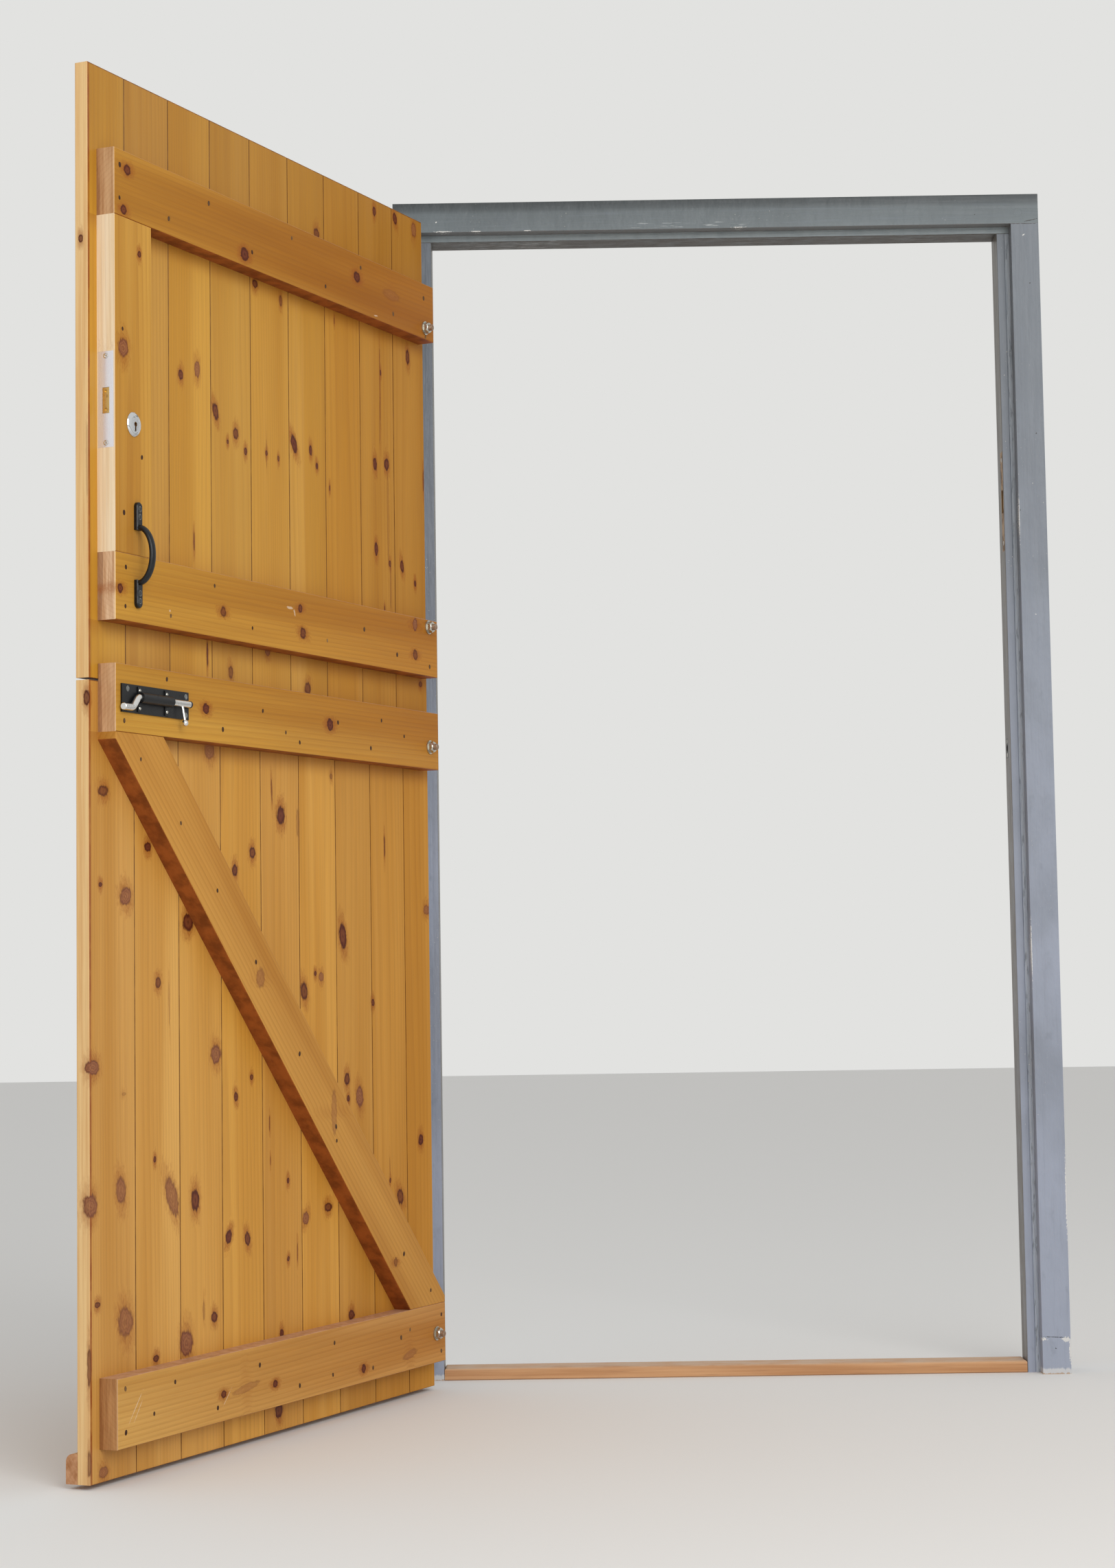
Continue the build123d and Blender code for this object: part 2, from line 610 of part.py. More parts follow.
def board(index, edges, bottom, top):
    """One tongued and grooved board; the V is worked on the outside face only."""
    right = edges[index] - (BOARD_JOINT_GAP / 2 if index > 0 else 0)
    left = edges[index + 1] + (BOARD_JOINT_GAP / 2 if index < BOARD_COUNT - 1 else 0)
    out, inn = BOARD_OUTSIDE, BOARD_INSIDE
    mid = (out + inn) / 2
    half = TONGUE_THICKNESS / 2
    v_right = V_JOINT if index > 0 else BOARD_EASING
    v_left = V_JOINT if index < BOARD_COUNT - 1 else BOARD_EASING
    outline = [(left + v_left, out), (right - v_right, out), (right, out + v_right)]
    if index > 0:
        outline += [
            (right, mid - half),
            (right + TONGUE_LENGTH, mid - half),
            (right + TONGUE_LENGTH, mid + half),
            (right, mid + half),
        ]
    outline += [(right, inn - BOARD_EASING), (right - BOARD_EASING, inn)]
    outline += [(left + BOARD_EASING, inn), (left, inn - BOARD_EASING)]
    if index < BOARD_COUNT - 1:
        slot = half + TONGUE_CLEARANCE
        deep = left + TONGUE_LENGTH + TONGUE_CLEARANCE
        outline += [(left, mid + slot), (deep, mid + slot), (deep, mid - slot), (left, mid - slot)]
    outline += [(left, out + v_left)]
    face = make_face(Polyline(*outline, close=True))
    return Pos(0, 0, bottom) * extrude(face, top - bottom)


def rounded_plank(x0, x1, z0, z1):
    """A ledge or block on the inside face of the boards, its inner arrises rounded."""
    plank = slab(x0, x1, BOARD_INSIDE, LEDGE_INSIDE, z0, z1)
    return fillet(plank.faces().sort_by(Axis.Y)[-1].edges(), LEDGE_ROUNDING)


def ledge(name):
    """A ledge across the boards, set back from both edges to clear the stops."""
    low = LEDGE_BOTTOMS[name]
    return rounded_plank(LEDGE_HINGE_END, LEDGE_LOCK_END, low, low + LEDGE_WIDTH)


def lower_top_ledge():
    """The ledge that stands above the lower leaf as a stop, eased where the upper leaf shuts."""
    low = LEDGE_BOTTOMS["lower_top"]
    relief = slab(
        LEAF_HINGE_EDGE,
        LEAF_LOCK_EDGE,
        BOARD_INSIDE,
        BOARD_INSIDE + LOWER_TOP_LEDGE_RELIEF,
        LOWER_TOP,
        low + LEDGE_WIDTH,
    )
    return ledge("lower_top") - relief


def brace():
    """The diagonal from under the lock end of the top ledge to the hinge end of the bottom one."""
    top = LEDGE_BOTTOMS["lower_top"]
    bottom = LEDGE_BOTTOMS["lower_bottom"] + LEDGE_WIDTH
    left, right = LEDGE_HINGE_END, LEDGE_LOCK_END
    # Each long edge runs from a short plumb cut at one ledge to the other ledge. The run is
    # found from the width by stepping the slope until the two agree.
    run = right - left - BRACE_WIDTH
    for _ in range(20):
        rise = top - bottom - BRACE_END_CUT
        slope = (run * run + rise * rise) ** 0.5
        run = right - left - (BRACE_WIDTH * slope / rise - BRACE_END_CUT * run / rise)
    outline = Polyline(
        (right, top),
        (right, top - BRACE_END_CUT),
        (right - run, bottom),
        (left, bottom),
        (left, bottom + BRACE_END_CUT),
        (left + run, top),
        close=True,
    )
    blank = extrude(make_face(Plane.XZ * outline), LEDGE_THICKNESS, dir=(0, 1, 0))
    blank = Pos(0, BOARD_INSIDE, 0) * blank
    return fillet(blank.faces().sort_by(Axis.Y)[-1].edges(), LEDGE_ROUNDING)


def weatherboard():
    """The rounded drip board along the foot of the lower leaf's outside face."""
    bar = slab(
        LEAF_HINGE_EDGE,
        LEAF_LOCK_EDGE,
        BOARD_OUTSIDE - WEATHERBOARD_THICKNESS,
        BOARD_OUTSIDE,
        LOWER_BOTTOM,
        LOWER_BOTTOM + WEATHERBOARD_HEIGHT,
    )
    edge = bar.edges().filter_by(Axis.X).group_by(Axis.Z)[-1].sort_by(Axis.Y)[0]
    return fillet(edge, WEATHERBOARD_ROUNDING)


def key_slot(y0, y1):
    """The keyhole: a round hole with a narrower slot hanging below it."""
    round_part = rod(KEYHOLE_RADIUS, (KEYHOLE_X, y0, KEYHOLE_Z), (KEYHOLE_X, y1, KEYHOLE_Z))
    half = KEYHOLE_SLOT_WIDTH / 2
    foot = KEYHOLE_Z - KEYHOLE_SLOT_LENGTH
    return round_part + slab(KEYHOLE_X - half, KEYHOLE_X + half, y0, y1, foot, KEYHOLE_Z)


def case_body(clearance=0.0):
    """The outside of the lock case behind its forend."""
    front = LEDGE_LOCK_END - FOREND_THICKNESS
    back = front - CASE_DEPTH - clearance
    return edge_block(back, front, CASE_THICKNESS, CASE_HEIGHT, clearance=clearance)


def lock_case():
    """The folded steel case, open to the front, with a keyhole through both cheeks."""
    front = LEDGE_LOCK_END - FOREND_THICKNESS
    back = front - CASE_DEPTH + CASE_WALL
    inside = edge_block(back, front, CASE_THICKNESS, CASE_HEIGHT, clearance=-CASE_WALL)
    return case_body() - inside - key_slot(BOARD_OUTSIDE, LEDGE_INSIDE)


def forend_blank(clearance=0.0):
    """The forend plate, flush in the edge of the lock block."""
    back = LEDGE_LOCK_END - FOREND_THICKNESS
    return edge_block(back, LEDGE_LOCK_END, FOREND_WIDTH, FOREND_HEIGHT, clearance=clearance)


def forend_screws(clearance=0.0):
    """The two screws that hold the forend to the block."""
    reach = FOREND_HEIGHT / 2 - FOREND_SCREW_INSET / 2
    return [
        countersunk(LIGHT_SCREW, (LEDGE_LOCK_END, LOCK_Y, LOCK_Z + side * reach), (-1, 0, 0), clearance)
        for side in (-1, 1)
    ]


def forend():
    """The steel forend with the slot that the deadbolt slides through."""
    slot = edge_block(
        LEDGE_LOCK_END - FOREND_THICKNESS,
        LEDGE_LOCK_END,
        DEADBOLT_THICKNESS,
        DEADBOLT_HEIGHT,
        DEADBOLT_Z,
        BOLT_SLOT_CLEARANCE,
    )
    return bored(forend_blank() - slot, forend_screws(SCREW_CLEARANCE))


def deadbolt():
    """The brass deadbolt, drawn back, with the ends of its two hardened rollers."""
    nose = LEDGE_LOCK_END - DEADBOLT_RECESS
    half_y = DEADBOLT_THICKNESS / 2
    half_z = DEADBOLT_HEIGHT / 2
    bolt = edge_block(nose - DEADBOLT_LENGTH, nose, DEADBOLT_THICKNESS, DEADBOLT_HEIGHT, DEADBOLT_Z)
    talon = slab(
        KEYHOLE_X - KEYHOLE_RADIUS * 2,
        KEYHOLE_X + KEYHOLE_RADIUS * 2,
        LOCK_Y - half_y,
        LOCK_Y + half_y,
        DEADBOLT_Z - half_z,
        DEADBOLT_Z - half_z / 2,
    )
    for side in (-1, 1):
        z = DEADBOLT_Z + side * ROLLER_PITCH / 2
        bolt -= rod(ROLLER_RADIUS, (nose - ROLLER_RADIUS, LOCK_Y, z), (nose, LOCK_Y, z))
    return bolt - talon


def lock_block():
    """The planted stile that holds the lock, morticed from its edge."""
    block = rounded_plank(LEDGE_LOCK_END - BLOCK_WIDTH, LEDGE_LOCK_END, BLOCK_BOTTOM, BLOCK_TOP)
    block -= case_body(CASE_CLEARANCE)
    block -= forend_blank(SCREW_CLEARANCE)
    block -= key_slot(BOARD_INSIDE, LEDGE_INSIDE)
    return bored(block, [*forend_screws(SCREW_CLEARANCE), *handle_screws(SCREW_CLEARANCE)])


def escutcheon(face, outward):
    """A domed round keyhole plate; outward is -1 for the outside face and 1 for the inside one."""
    rim = ESCUTCHEON_HEIGHT * ESCUTCHEON_RIM_SHARE
    out_share, up_share = ESCUTCHEON_SHOULDER_SHARES
    shoulder = (ESCUTCHEON_RADIUS * out_share, ESCUTCHEON_HEIGHT * up_share)
    flat_edge = (ESCUTCHEON_RADIUS * ESCUTCHEON_FLAT_SHARE, ESCUTCHEON_HEIGHT)
    profile = make_face(
        Polyline((0, 0), (ESCUTCHEON_RADIUS, 0), (ESCUTCHEON_RADIUS, rim))
        + ThreePointArc((ESCUTCHEON_RADIUS, rim), shoulder, flat_edge)
        + Polyline(flat_edge, (0, ESCUTCHEON_HEIGHT), (0, 0))
    )
    seat = Plane(origin=(KEYHOLE_X, face, KEYHOLE_Z), z_dir=(0, outward, 0))
    dome = seat.location * revolve(Plane.XZ * profile, Axis.Z)
    far = face + outward * ESCUTCHEON_HEIGHT
    return dome - key_slot(min(face, far), max(face, far))


def handle_screw_heights():
    """Heights of the four handle screws, two in each pad."""
    end = HANDLE_LENGTH / 2 - HANDLE_SCREW_INSET
    return [HANDLE_Z + side * (end - step * HANDLE_SCREW_PITCH) for side in (-1, 1) for step in (0, 1)]


def handle_screws(clearance=0.0):
    """The screws through the pads of the pull handle."""
    face = LEDGE_INSIDE + HANDLE_PAD_THICKNESS
    return [
        countersunk(LIGHT_SCREW, (HANDLE_X, face, z), (0, -1, 0), clearance) for z in handle_screw_heights()
    ]


def pull_handle():
    """A cast pull: two narrow pads with round ends, and an oval bow standing out between them."""
    half_x = HANDLE_PAD_WIDTH / 2
    face = LEDGE_INSIDE + HANDLE_PAD_THICKNESS
    end = HANDLE_LENGTH / 2
    pads = None
    for side in (-1, 1):
        inner = HANDLE_Z + side * (end - HANDLE_PAD_LENGTH)
        outer = HANDLE_Z + side * (end - half_x)
        pad = slab(HANDLE_X - half_x, HANDLE_X + half_x, LEDGE_INSIDE, face, *sorted((inner, outer)))
        pad += rod(half_x, (HANDLE_X, LEDGE_INSIDE, outer), (HANDLE_X, face, outer))
        pad = chamfer(pad.faces().sort_by(Axis.Y)[-1].edges(), HANDLE_ROUNDING)
        pads = pad if pads is None else pads + pad
    rise = end - HANDLE_PAD_LENGTH
    base = LEDGE_INSIDE + HANDLE_PAD_THICKNESS / 2
    plane = Plane(origin=(HANDLE_X, base, HANDLE_Z), x_dir=(0, 1, 0), z_dir=(1, 0, 0))
    reach = HANDLE_REACH - HANDLE_PAD_THICKNESS / 2
    spread = rise + HANDLE_GRIP_THICKNESS / 2
    path = plane * EllipticalCenterArc((0, 0), reach, spread, start_angle=-90, arc_size=180)
    start = Plane(origin=path @ 0, x_dir=(1, 0, 0), z_dir=path % 0)
    bow = sweep(start * Ellipse(HANDLE_GRIP_WIDTH / 2, HANDLE_GRIP_THICKNESS / 2), path=path)
    behind = slab(
        HANDLE_X - HANDLE_PAD_WIDTH,
        HANDLE_X + HANDLE_PAD_WIDTH,
        LEDGE_INSIDE - HANDLE_REACH,
        LEDGE_INSIDE,
        HANDLE_Z - HANDLE_LENGTH,
        HANDLE_Z + HANDLE_LENGTH,
    )
    return bored(pads + bow - behind, handle_screws(SCREW_CLEARANCE))


def plate_screw_points():
    """The four corner screws of the bolt plate, as X and Z."""
    reach_z = PLATE_HEIGHT / 2 - PLATE_SCREW_EDGE_INSET
    return [
        (x, PLATE_Z + k * reach_z)
        for x in (PLATE_LOCK_END - 2 * PLATE_SCREW_END_INSET, PLATE_HINGE_END + PLATE_SCREW_END_INSET)
        for k in (-1, 1)
    ]


def plate_screws(clearance=0.0):
    """The screws that hold the bolt plate to the ledge."""
    points = [(x, PLATE_FACE, z) for x, z in plate_screw_points()]
    return [countersunk(LIGHT_SCREW, point, (0, -1, 0), clearance) for point in points]


def rivet_points():
    """The four rivets in the feet of the barrel, as X and Z."""
    inset = BARREL_FOOT_LENGTH / 2
    reach = BARREL_FOOT_REACH - PLATE_SCREW_EDGE_INSET + 1
    return [
        (x, PLATE_Z + k * reach)
        for x in (BARREL_LOCK_END - inset, BARREL_HINGE_END + inset)
        for k in (-1, 1)
    ]


def rivets():
    """Domed rivet heads that sit on the barrel's feet."""
    face = PLATE_FACE + BARREL_FOOT_THICKNESS
    return [
        Plane(origin=(x, face, z), z_dir=(0, 1, 0)).location * domed_head(RIVET_RADIUS, RIVET_HEIGHT)
        for x, z in rivet_points()
    ]


def bolt_plate():
    """The black back plate of the necked bolt, its hinge end turned up as a stop for the rod."""
    half_z = PLATE_HEIGHT / 2
    low, high = PLATE_Z - half_z, PLATE_Z + half_z
    plate = slab(PLATE_HINGE_END, PLATE_LOCK_END, LEDGE_INSIDE, PLATE_FACE, low, high)
    lug_x = PLATE_HINGE_END + END_LUG_INSET
    lug_end = lug_x + END_LUG_THICKNESS
    lug = rod(END_LUG_RADIUS, (lug_x, ROD_Y, ROD_Z), (lug_end, ROD_Y, ROD_Z))
    lug += slab(lug_x, lug_end, PLATE_FACE, ROD_Y, ROD_Z - END_LUG_RADIUS, ROD_Z + END_LUG_RADIUS)
    return bored(plate + lug, plate_screws(SCREW_CLEARANCE))


def bolt_barrel():
    """The half round barrel pressed over the rod, with a riveted foot at each end."""
    outer = ROD_RADIUS + ROD_CLEARANCE + BARREL_WALL
    half_z = PLATE_HEIGHT / 2
    tube = rod(outer, (BARREL_HINGE_END, ROD_Y, ROD_Z), (BARREL_LOCK_END, ROD_Y, ROD_Z))
    tube += slab(BARREL_HINGE_END, BARREL_LOCK_END, PLATE_FACE, ROD_Y, ROD_Z - outer, ROD_Z + outer)
    for x in (BARREL_HINGE_END, BARREL_LOCK_END - BARREL_FOOT_LENGTH):
        tube += slab(
            x,
            x + BARREL_FOOT_LENGTH,
            PLATE_FACE,
            PLATE_FACE + BARREL_FOOT_THICKNESS,
            PLATE_Z - BARREL_FOOT_REACH,
            PLATE_Z + BARREL_FOOT_REACH,
        )
    inner = ROD_RADIUS + ROD_CLEARANCE
    way = rod(inner, (BARREL_HINGE_END, ROD_Y, ROD_Z), (BARREL_LOCK_END, ROD_Y, ROD_Z))
    way += slab(BARREL_HINGE_END, BARREL_LOCK_END, PLATE_FACE, ROD_Y, ROD_Z - inner, ROD_Z + inner)
    top = ROD_Y + outer
    above = slab(BARREL_HINGE_END, BARREL_LOCK_END, PLATE_FACE, top, PLATE_Z - half_z, PLATE_Z + half_z)
    return (tube & above) - way


def bolt_rod():
    """The bright necked rod, drawn back, with its stem and ball knob hanging down."""
    straight_end = ROD_TIP_END - ROD_TIP_LENGTH - ROD_NECK_RUN
    path = FilletPolyline(
        (ROD_HINGE_END, ROD_Y, ROD_Z),
        (straight_end, ROD_Y, ROD_Z),
        (straight_end + ROD_NECK_RUN, ROD_Y, ROD_TIP_Z),
        (ROD_TIP_END, ROD_Y, ROD_TIP_Z),
        radius=ROD_BEND_RADIUS,
    )
    bar = sweep(Plane(origin=path @ 0, z_dir=path % 0) * Circle(ROD_RADIUS), path=path)
    bar = chamfer(bar.faces().sort_by(Axis.X)[-1].edges(), ROD_END_CHAMFER)
    lean = radians(KNOB_LEAN)
    ball = (KNOB_X, ROD_Y + sin(lean) * KNOB_STEM_LENGTH, ROD_Z - cos(lean) * KNOB_STEM_LENGTH)
    return bar + rod(KNOB_STEM_RADIUS, (KNOB_X, ROD_Y, ROD_Z), ball) + Pos(*ball) * Sphere(KNOB_RADIUS)


def build_frame():
    """The fixed part: posts, head, stops, threshold, keeps and the four hooks."""
    hook_cuts = [cut for height in HINGE_HEIGHTS.values() for cut in hook_screws(height, SCREW_CLEARANCE)]
    keep("head", head())
    keep("hinge_jamb", bored(jamb(HINGE_REBATE, -1), hook_cuts))
    keep("lock_jamb", jamb(LOCK_REBATE, 1))
    keep("frame_pegs", [peg(HINGE_REBATE, -1), peg(LOCK_REBATE, 1)])
    keep(
        "head_stop",
        slab(HINGE_REBATE, LOCK_REBATE, STOP_FACE, BACK, HEAD_UNDERSIDE - HEAD_STOP_HEIGHT, HEAD_UNDERSIDE),
    )
    hinge_side = HINGE_REBATE + HINGE_STOP_WIDTH
    keep("hinge_stop", stop_lath(HINGE_REBATE, hinge_side, STOP_FACE, [hinge_side]))
    housings = [
        keep_housing(),
        bolt_keep_plate(JOINT_CLEARANCE) + bolt_keep_hole(),
        *keep_screws(SCREW_CLEARANCE),
        *bolt_keep_screws(SCREW_CLEARANCE),
    ]
    foot, at_bolt, middle, at_keep, top = lock_stop_lengths(housings)
    keep("lock_stop", [foot, middle, top])
    keep("lock_stop_at_keeps", [at_bolt, at_keep])
    lath = stop_lath(LATH_SEAM, LOCK_REBATE, STOP_FACE + LATH_SET_BACK, [LATH_SEAM])
    keep("lock_packing_lath", bored(lath, housings))
    keep("threshold_bar", threshold_bar())
    keep("lock_keep", lock_keep())
    keep("bolt_keep", bored(bolt_keep_plate(), [bolt_keep_hole(), *bolt_keep_screws(SCREW_CLEARANCE)]))
    for name, height in HINGE_HEIGHTS.items():
        keep(f"{name}_hook", hook(height))
    fixings = [screw for height in HINGE_HEIGHTS.values() for screw in hook_screws(height)]
    keep("frame_fixings", [*fixings, *keep_screws(), *bolt_keep_screws()])


def leaf_boards(leaf, lock_board, bottom, top, cutters):
    """The nine boards of one leaf, bored for what passes through them."""
    edges = board_edges(lock_board)
    for index in range(BOARD_COUNT):
        plank = board(index, edges, bottom, top)
        left, right = edges[index + 1], edges[index] + TONGUE_LENGTH
        near = [c for c in cutters if c.bounding_box().max.X > left and c.bounding_box().min.X < right]
        keep(f"{leaf}_board_{index + 1}", swing(bored(plank, near), OPEN_ANGLE))


def leaf_hinges(leaf):
    """Bands, coach bolts, nuts and washers of one leaf."""
    heights = [HINGE_HEIGHTS[f"{leaf}_top"], HINGE_HEIGHTS[f"{leaf}_bottom"]]
    for end, height in zip(("top", "bottom"), heights):
        keep(f"{leaf}_{end}_band", swing(band(height), OPEN_ANGLE))
    keep(f"{leaf}_coach_bolts", [swing(coach_bolt(height), OPEN_ANGLE) for height in heights])
    nuts = [solid for height in heights for solid in nut_and_washer(height)]
    keep(f"{leaf}_hinge_nuts", [swing(solid, OPEN_ANGLE) for solid in nuts])
    return heights


def build_upper_leaf():
    """The upper leaf with its lock and pull handle."""
    heights = [HINGE_HEIGHTS["upper_top"], HINGE_HEIGHTS["upper_bottom"]]
    through = [coach_bolt_hole(height) for height in heights]
    through += [cut for height in heights for cut in band_screws(height, SCREW_CLEARANCE)]
    keyway = key_slot(BOARD_OUTSIDE, BOARD_INSIDE)
    leaf_boards("upper", UPPER_LOCK_BOARD, UPPER_BOTTOM, UPPER_TOP, [*through, keyway])
    lower_cuts = [*through, *handle_screws(SCREW_CLEARANCE)]
    keep("upper_top_ledge", swing(bored(ledge("upper_top"), through), OPEN_ANGLE))
    keep("upper_bottom_ledge", swing(bored(ledge("upper_bottom"), lower_cuts), OPEN_ANGLE))
    keep("lock_block", swing(lock_block(), OPEN_ANGLE))
    leaf_hinges("upper")
    keep("lock_case", swing(lock_case(), OPEN_ANGLE))
    keep("lock_forend", swing(forend(), OPEN_ANGLE))
    keep("deadbolt", swing(deadbolt(), OPEN_ANGLE))
    plates = [escutcheon(LEDGE_INSIDE, 1), escutcheon(BOARD_OUTSIDE, -1)]
    keep("escutcheons", [swing(plate, OPEN_ANGLE) for plate in plates])
    keep("pull_handle", swing(pull_handle(), OPEN_ANGLE))
    screws = [*handle_screws(), *forend_screws()]
    screws += [screw for height in heights for screw in band_screws(height)]
    keep("upper_fixings", [swing(screw, OPEN_ANGLE) for screw in screws])


def build_lower_leaf():
    """The lower leaf with its brace, weatherboard and necked bolt."""
    heights = [HINGE_HEIGHTS["lower_top"], HINGE_HEIGHTS["lower_bottom"]]
    through = [coach_bolt_hole(height) for height in heights]
    through += [cut for height in heights for cut in band_screws(height, SCREW_CLEARANCE)]
    leaf_boards("lower", LOWER_LOCK_BOARD, LOWER_BOTTOM, LOWER_TOP, through)
    top_cuts = [*through, *plate_screws(SCREW_CLEARANCE)]
    keep("lower_top_ledge", swing(bored(lower_top_ledge(), top_cuts), OPEN_ANGLE))
    keep("lower_bottom_ledge", swing(bored(ledge("lower_bottom"), through), OPEN_ANGLE))
    keep("brace", swing(brace(), OPEN_ANGLE))
    keep("weatherboard", swing(weatherboard(), OPEN_ANGLE))
    leaf_hinges("lower")
    keep("bolt_plate", swing(bolt_plate(), OPEN_ANGLE))
    keep("bolt_barrel", swing(bolt_barrel(), OPEN_ANGLE))
    keep("bolt_rod", swing(bolt_rod(), OPEN_ANGLE))
    screws = [*plate_screws(), *rivets()]
    screws += [screw for height in heights for screw in band_screws(height)]
    keep("lower_fixings", [swing(screw, OPEN_ANGLE) for screw in screws])


def main():
    """Build every node and write one STEP file for each."""
    build_frame()
    build_upper_leaf()
    build_lower_leaf()
    os.makedirs("parts", exist_ok=True)
    for name, shape in nodes.items():
        export_step(shape, f"parts/{name}.step")


main()
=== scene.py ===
"""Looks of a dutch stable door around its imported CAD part.

Places on the leaves are given for the closed door, in millimetres, and are turned open with the leaves.
"""

import json
import math

import bmesh
import bpy
import numpy as np
from bpy.props import FloatProperty, FloatVectorProperty, PointerProperty
from mathutils import Matrix, Vector


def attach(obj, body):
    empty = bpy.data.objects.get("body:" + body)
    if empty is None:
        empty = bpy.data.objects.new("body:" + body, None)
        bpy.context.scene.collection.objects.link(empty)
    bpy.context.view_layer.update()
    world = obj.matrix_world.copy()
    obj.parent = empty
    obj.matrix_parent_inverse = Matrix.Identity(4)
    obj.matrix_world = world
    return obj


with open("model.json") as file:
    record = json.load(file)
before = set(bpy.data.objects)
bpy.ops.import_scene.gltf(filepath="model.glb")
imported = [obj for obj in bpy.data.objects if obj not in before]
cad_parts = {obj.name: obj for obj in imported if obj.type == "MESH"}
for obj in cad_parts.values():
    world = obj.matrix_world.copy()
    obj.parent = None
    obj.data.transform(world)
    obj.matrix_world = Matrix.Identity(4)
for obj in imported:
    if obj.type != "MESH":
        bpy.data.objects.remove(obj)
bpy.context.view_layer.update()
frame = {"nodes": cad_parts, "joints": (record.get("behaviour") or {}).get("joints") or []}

bl_info = {
    "name": "Dutch stable door",
    "version": (1, 0, 0),
    "blender": (4, 5, 0),
    "location": "3D View > Sidebar > Stable door",
    "description": "Dresses the packed stable door with its timber, paint and ironmongery",
    "category": "Object",
}

MM = 0.001
LEAF_JOINT = next(joint for joint in frame["joints"] if joint["name"] == "lower_leaf_swing")
OPEN_ANGLE = math.radians(-LEAF_JOINT["range_deg"][0])
HINGE_PIN = Vector((LEAF_JOINT["pos_m"][0], LEAF_JOINT["pos_m"][1], 0))

# Closed door to the open door of the row frame: a turn about the hinge pins
OPENING = Matrix.Rotation(-OPEN_ANGLE, 4, "Z")
TO_ROW = Matrix.Translation(HINGE_PIN) @ OPENING @ Matrix.Translation(-HINGE_PIN)
TO_LEAF = TO_ROW.inverted()

# Planes and levels of the closed door in millimetres: X towards the lock, Y towards the inside, Z up.
# LEDGES holds the under edge of each ledge, HINGES the middle line of each band
LEDGE_FACE = 14.5
BOARD_INSIDE = -15.5
BOARD_OUTSIDE = -36.5
LEAF_EDGE = 515.5
LEDGE_LOCK_END = 492.5
LEDGE_HINGE_END = -499.0
FRAME_FRONT = -42.0
LOCK_STOP_FACE = 496.5
HINGE_STOP_FACE = -500.5
HEAD_STOP_FRONT = -15.0
HEAD_STOP_FOOT = 1979.0
HEAD_FOOT = 1991.0
HEAD_SHADING = (1990.0, 2043.0)
LEAF_LEVELS = {"upper": (1112.0, 1988.0), "lower": (7.0, 1109.0)}
LEDGES = {"upper_top": 1771.0, "upper_bottom": 1194.0, "lower_top": 1037.0, "lower_bottom": 52.0}
HINGES = {"upper": (1790.0, 1277.0), "lower": (1074.0, 100.0)}

# Sizes in millimetres
LEDGE_WIDTH = 96.0
BOARD_COVER = 118.0
LOCK_BOARDS = {"upper": 94.0, "lower": 115.0}
LAST_BOARD = 9
LOCK_SCREW_RADIUS = 3.6
BRACE_ANGLE = math.radians(45.35)

# How far under a surface its own colour reaches, and how wide a joint line and a worn arris look
SKIN = 0.6
JOINT_LINE = 1.1
ARRIS = 5.0

# Where the coach bolts and the screws sit on the closed door, in millimetres: the bolt's keep and plate
# are given in Y and Z, the handle in X, Y and Z, and a rise is from the middle of a group to its screws
COACH_BOLT_X = -465.5
NUT_HEIGHT = 10.0
HINGE_THICKNESS = 6.0
HOOK_SCREWS_X = (-555.5, -533.5)
HOOK_PLATE_DROP = 28.3
HOOK_SCREW_RISE = 34
LOCK_KEEP_Z = 1504.5
LOCK_KEEP_SCREW_RISE = 73.5
BOLT_KEEP = (22.3, 1072)
BOLT_KEEP_SCREW_RISE = 12
HANDLE_MIDDLE = (438, 20.5, 1290)
HANDLE_SCREW_RISES = (54.5, 65.5)
FOREND_Z = 1506
FOREND_SCREW_RISE = 62
BOLT_PLATE = (17, 1085)
BOLT_PLATE_SCREWS_X = (466, 312.5)
BOLT_PLATE_SCREW_RISE = 13.5

# The stage in metres: floor, lamp and the photograph's camera with its yaw, pitch and roll in degrees
FLOOR_SIZE = 30
LAMP_PLACE = (1.7, -5.6, 3.0)
LAMP_TARGET = (-0.5, -0.4, 0.9)
LAMP_SIZE = 4.0
CAMERA_PLACE = (-0.2945, -5.1638, 0.6949)
CAMERA_ANGLES = (-0.242, 4.725, -0.851)
CAMERA_LENS = 68.13
CAMERA_SHIFT = (0.0095, -0.0369)

# Seeds of the random draws
BOARD_SEED = 41
NAIL_SEED = 7
SCREW_SEED = 19

# How bright each board is, in steps of 12 percent, from the lock edge to the hinge edge: partly the
# boards' own tones, partly painted shade, darker on the upper leaf under the eaves
BOARD_TONES_AND_SHADE = {
    "upper": (0.1, -0.3, 0.2, -0.6, -0.1, -0.3, -0.1, -0.7, -1.1),
    "lower": (0.4, 1.0, 1.1, 1.8, 0.9, 0.9, 0.0, 0.3, 0.0),
}

# How much blue each board has against the board colours
BOARD_BLUES = {
    "upper": (0.9, 1.1, 1.1, 1.0, 1.0, 0.8, 0.9, 0.75, 0.7),
    "lower": (1.8, 1.9, 1.85, 1.9, 1.7, 1.5, 1.15, 1.1, 1.0),
}

# Red, green and blue of each ledge, the brace and the lock block against the ledge colours: partly
# their own tones, partly painted shade, as on the upper top ledge, darker under the eaves
LEDGE_TINTS_AND_SHADE = {
    "upper_top": (0.86, 0.79, 0.63), "upper_bottom": (1.06, 1.1, 1.0), "lower_top": (1.07, 1.12, 1.03),
    "lower_bottom": (1.22, 1.4, 2.4), "brace": (1.09, 1.14, 1.46), "lock_block": (1.1, 1.22, 1.4),
}

# Painted shade and light: what the ledge colours are multiplied by at the hinge end, darker, and at the
# lock end, lighter, so far from the middle
LEDGE_SHADE_FALLOFF = ((0.92, 0.81, 0.74, 1.0), (1.07, 1.17, 1.25, 1.0))
LEDGE_REACH = 495.0

# The level from which painted shade of the eaves darkens the upper boards, and over how much height
EAVES_SHADE_FROM = 1760.0
EAVES_SHADE_OVER = 170.0

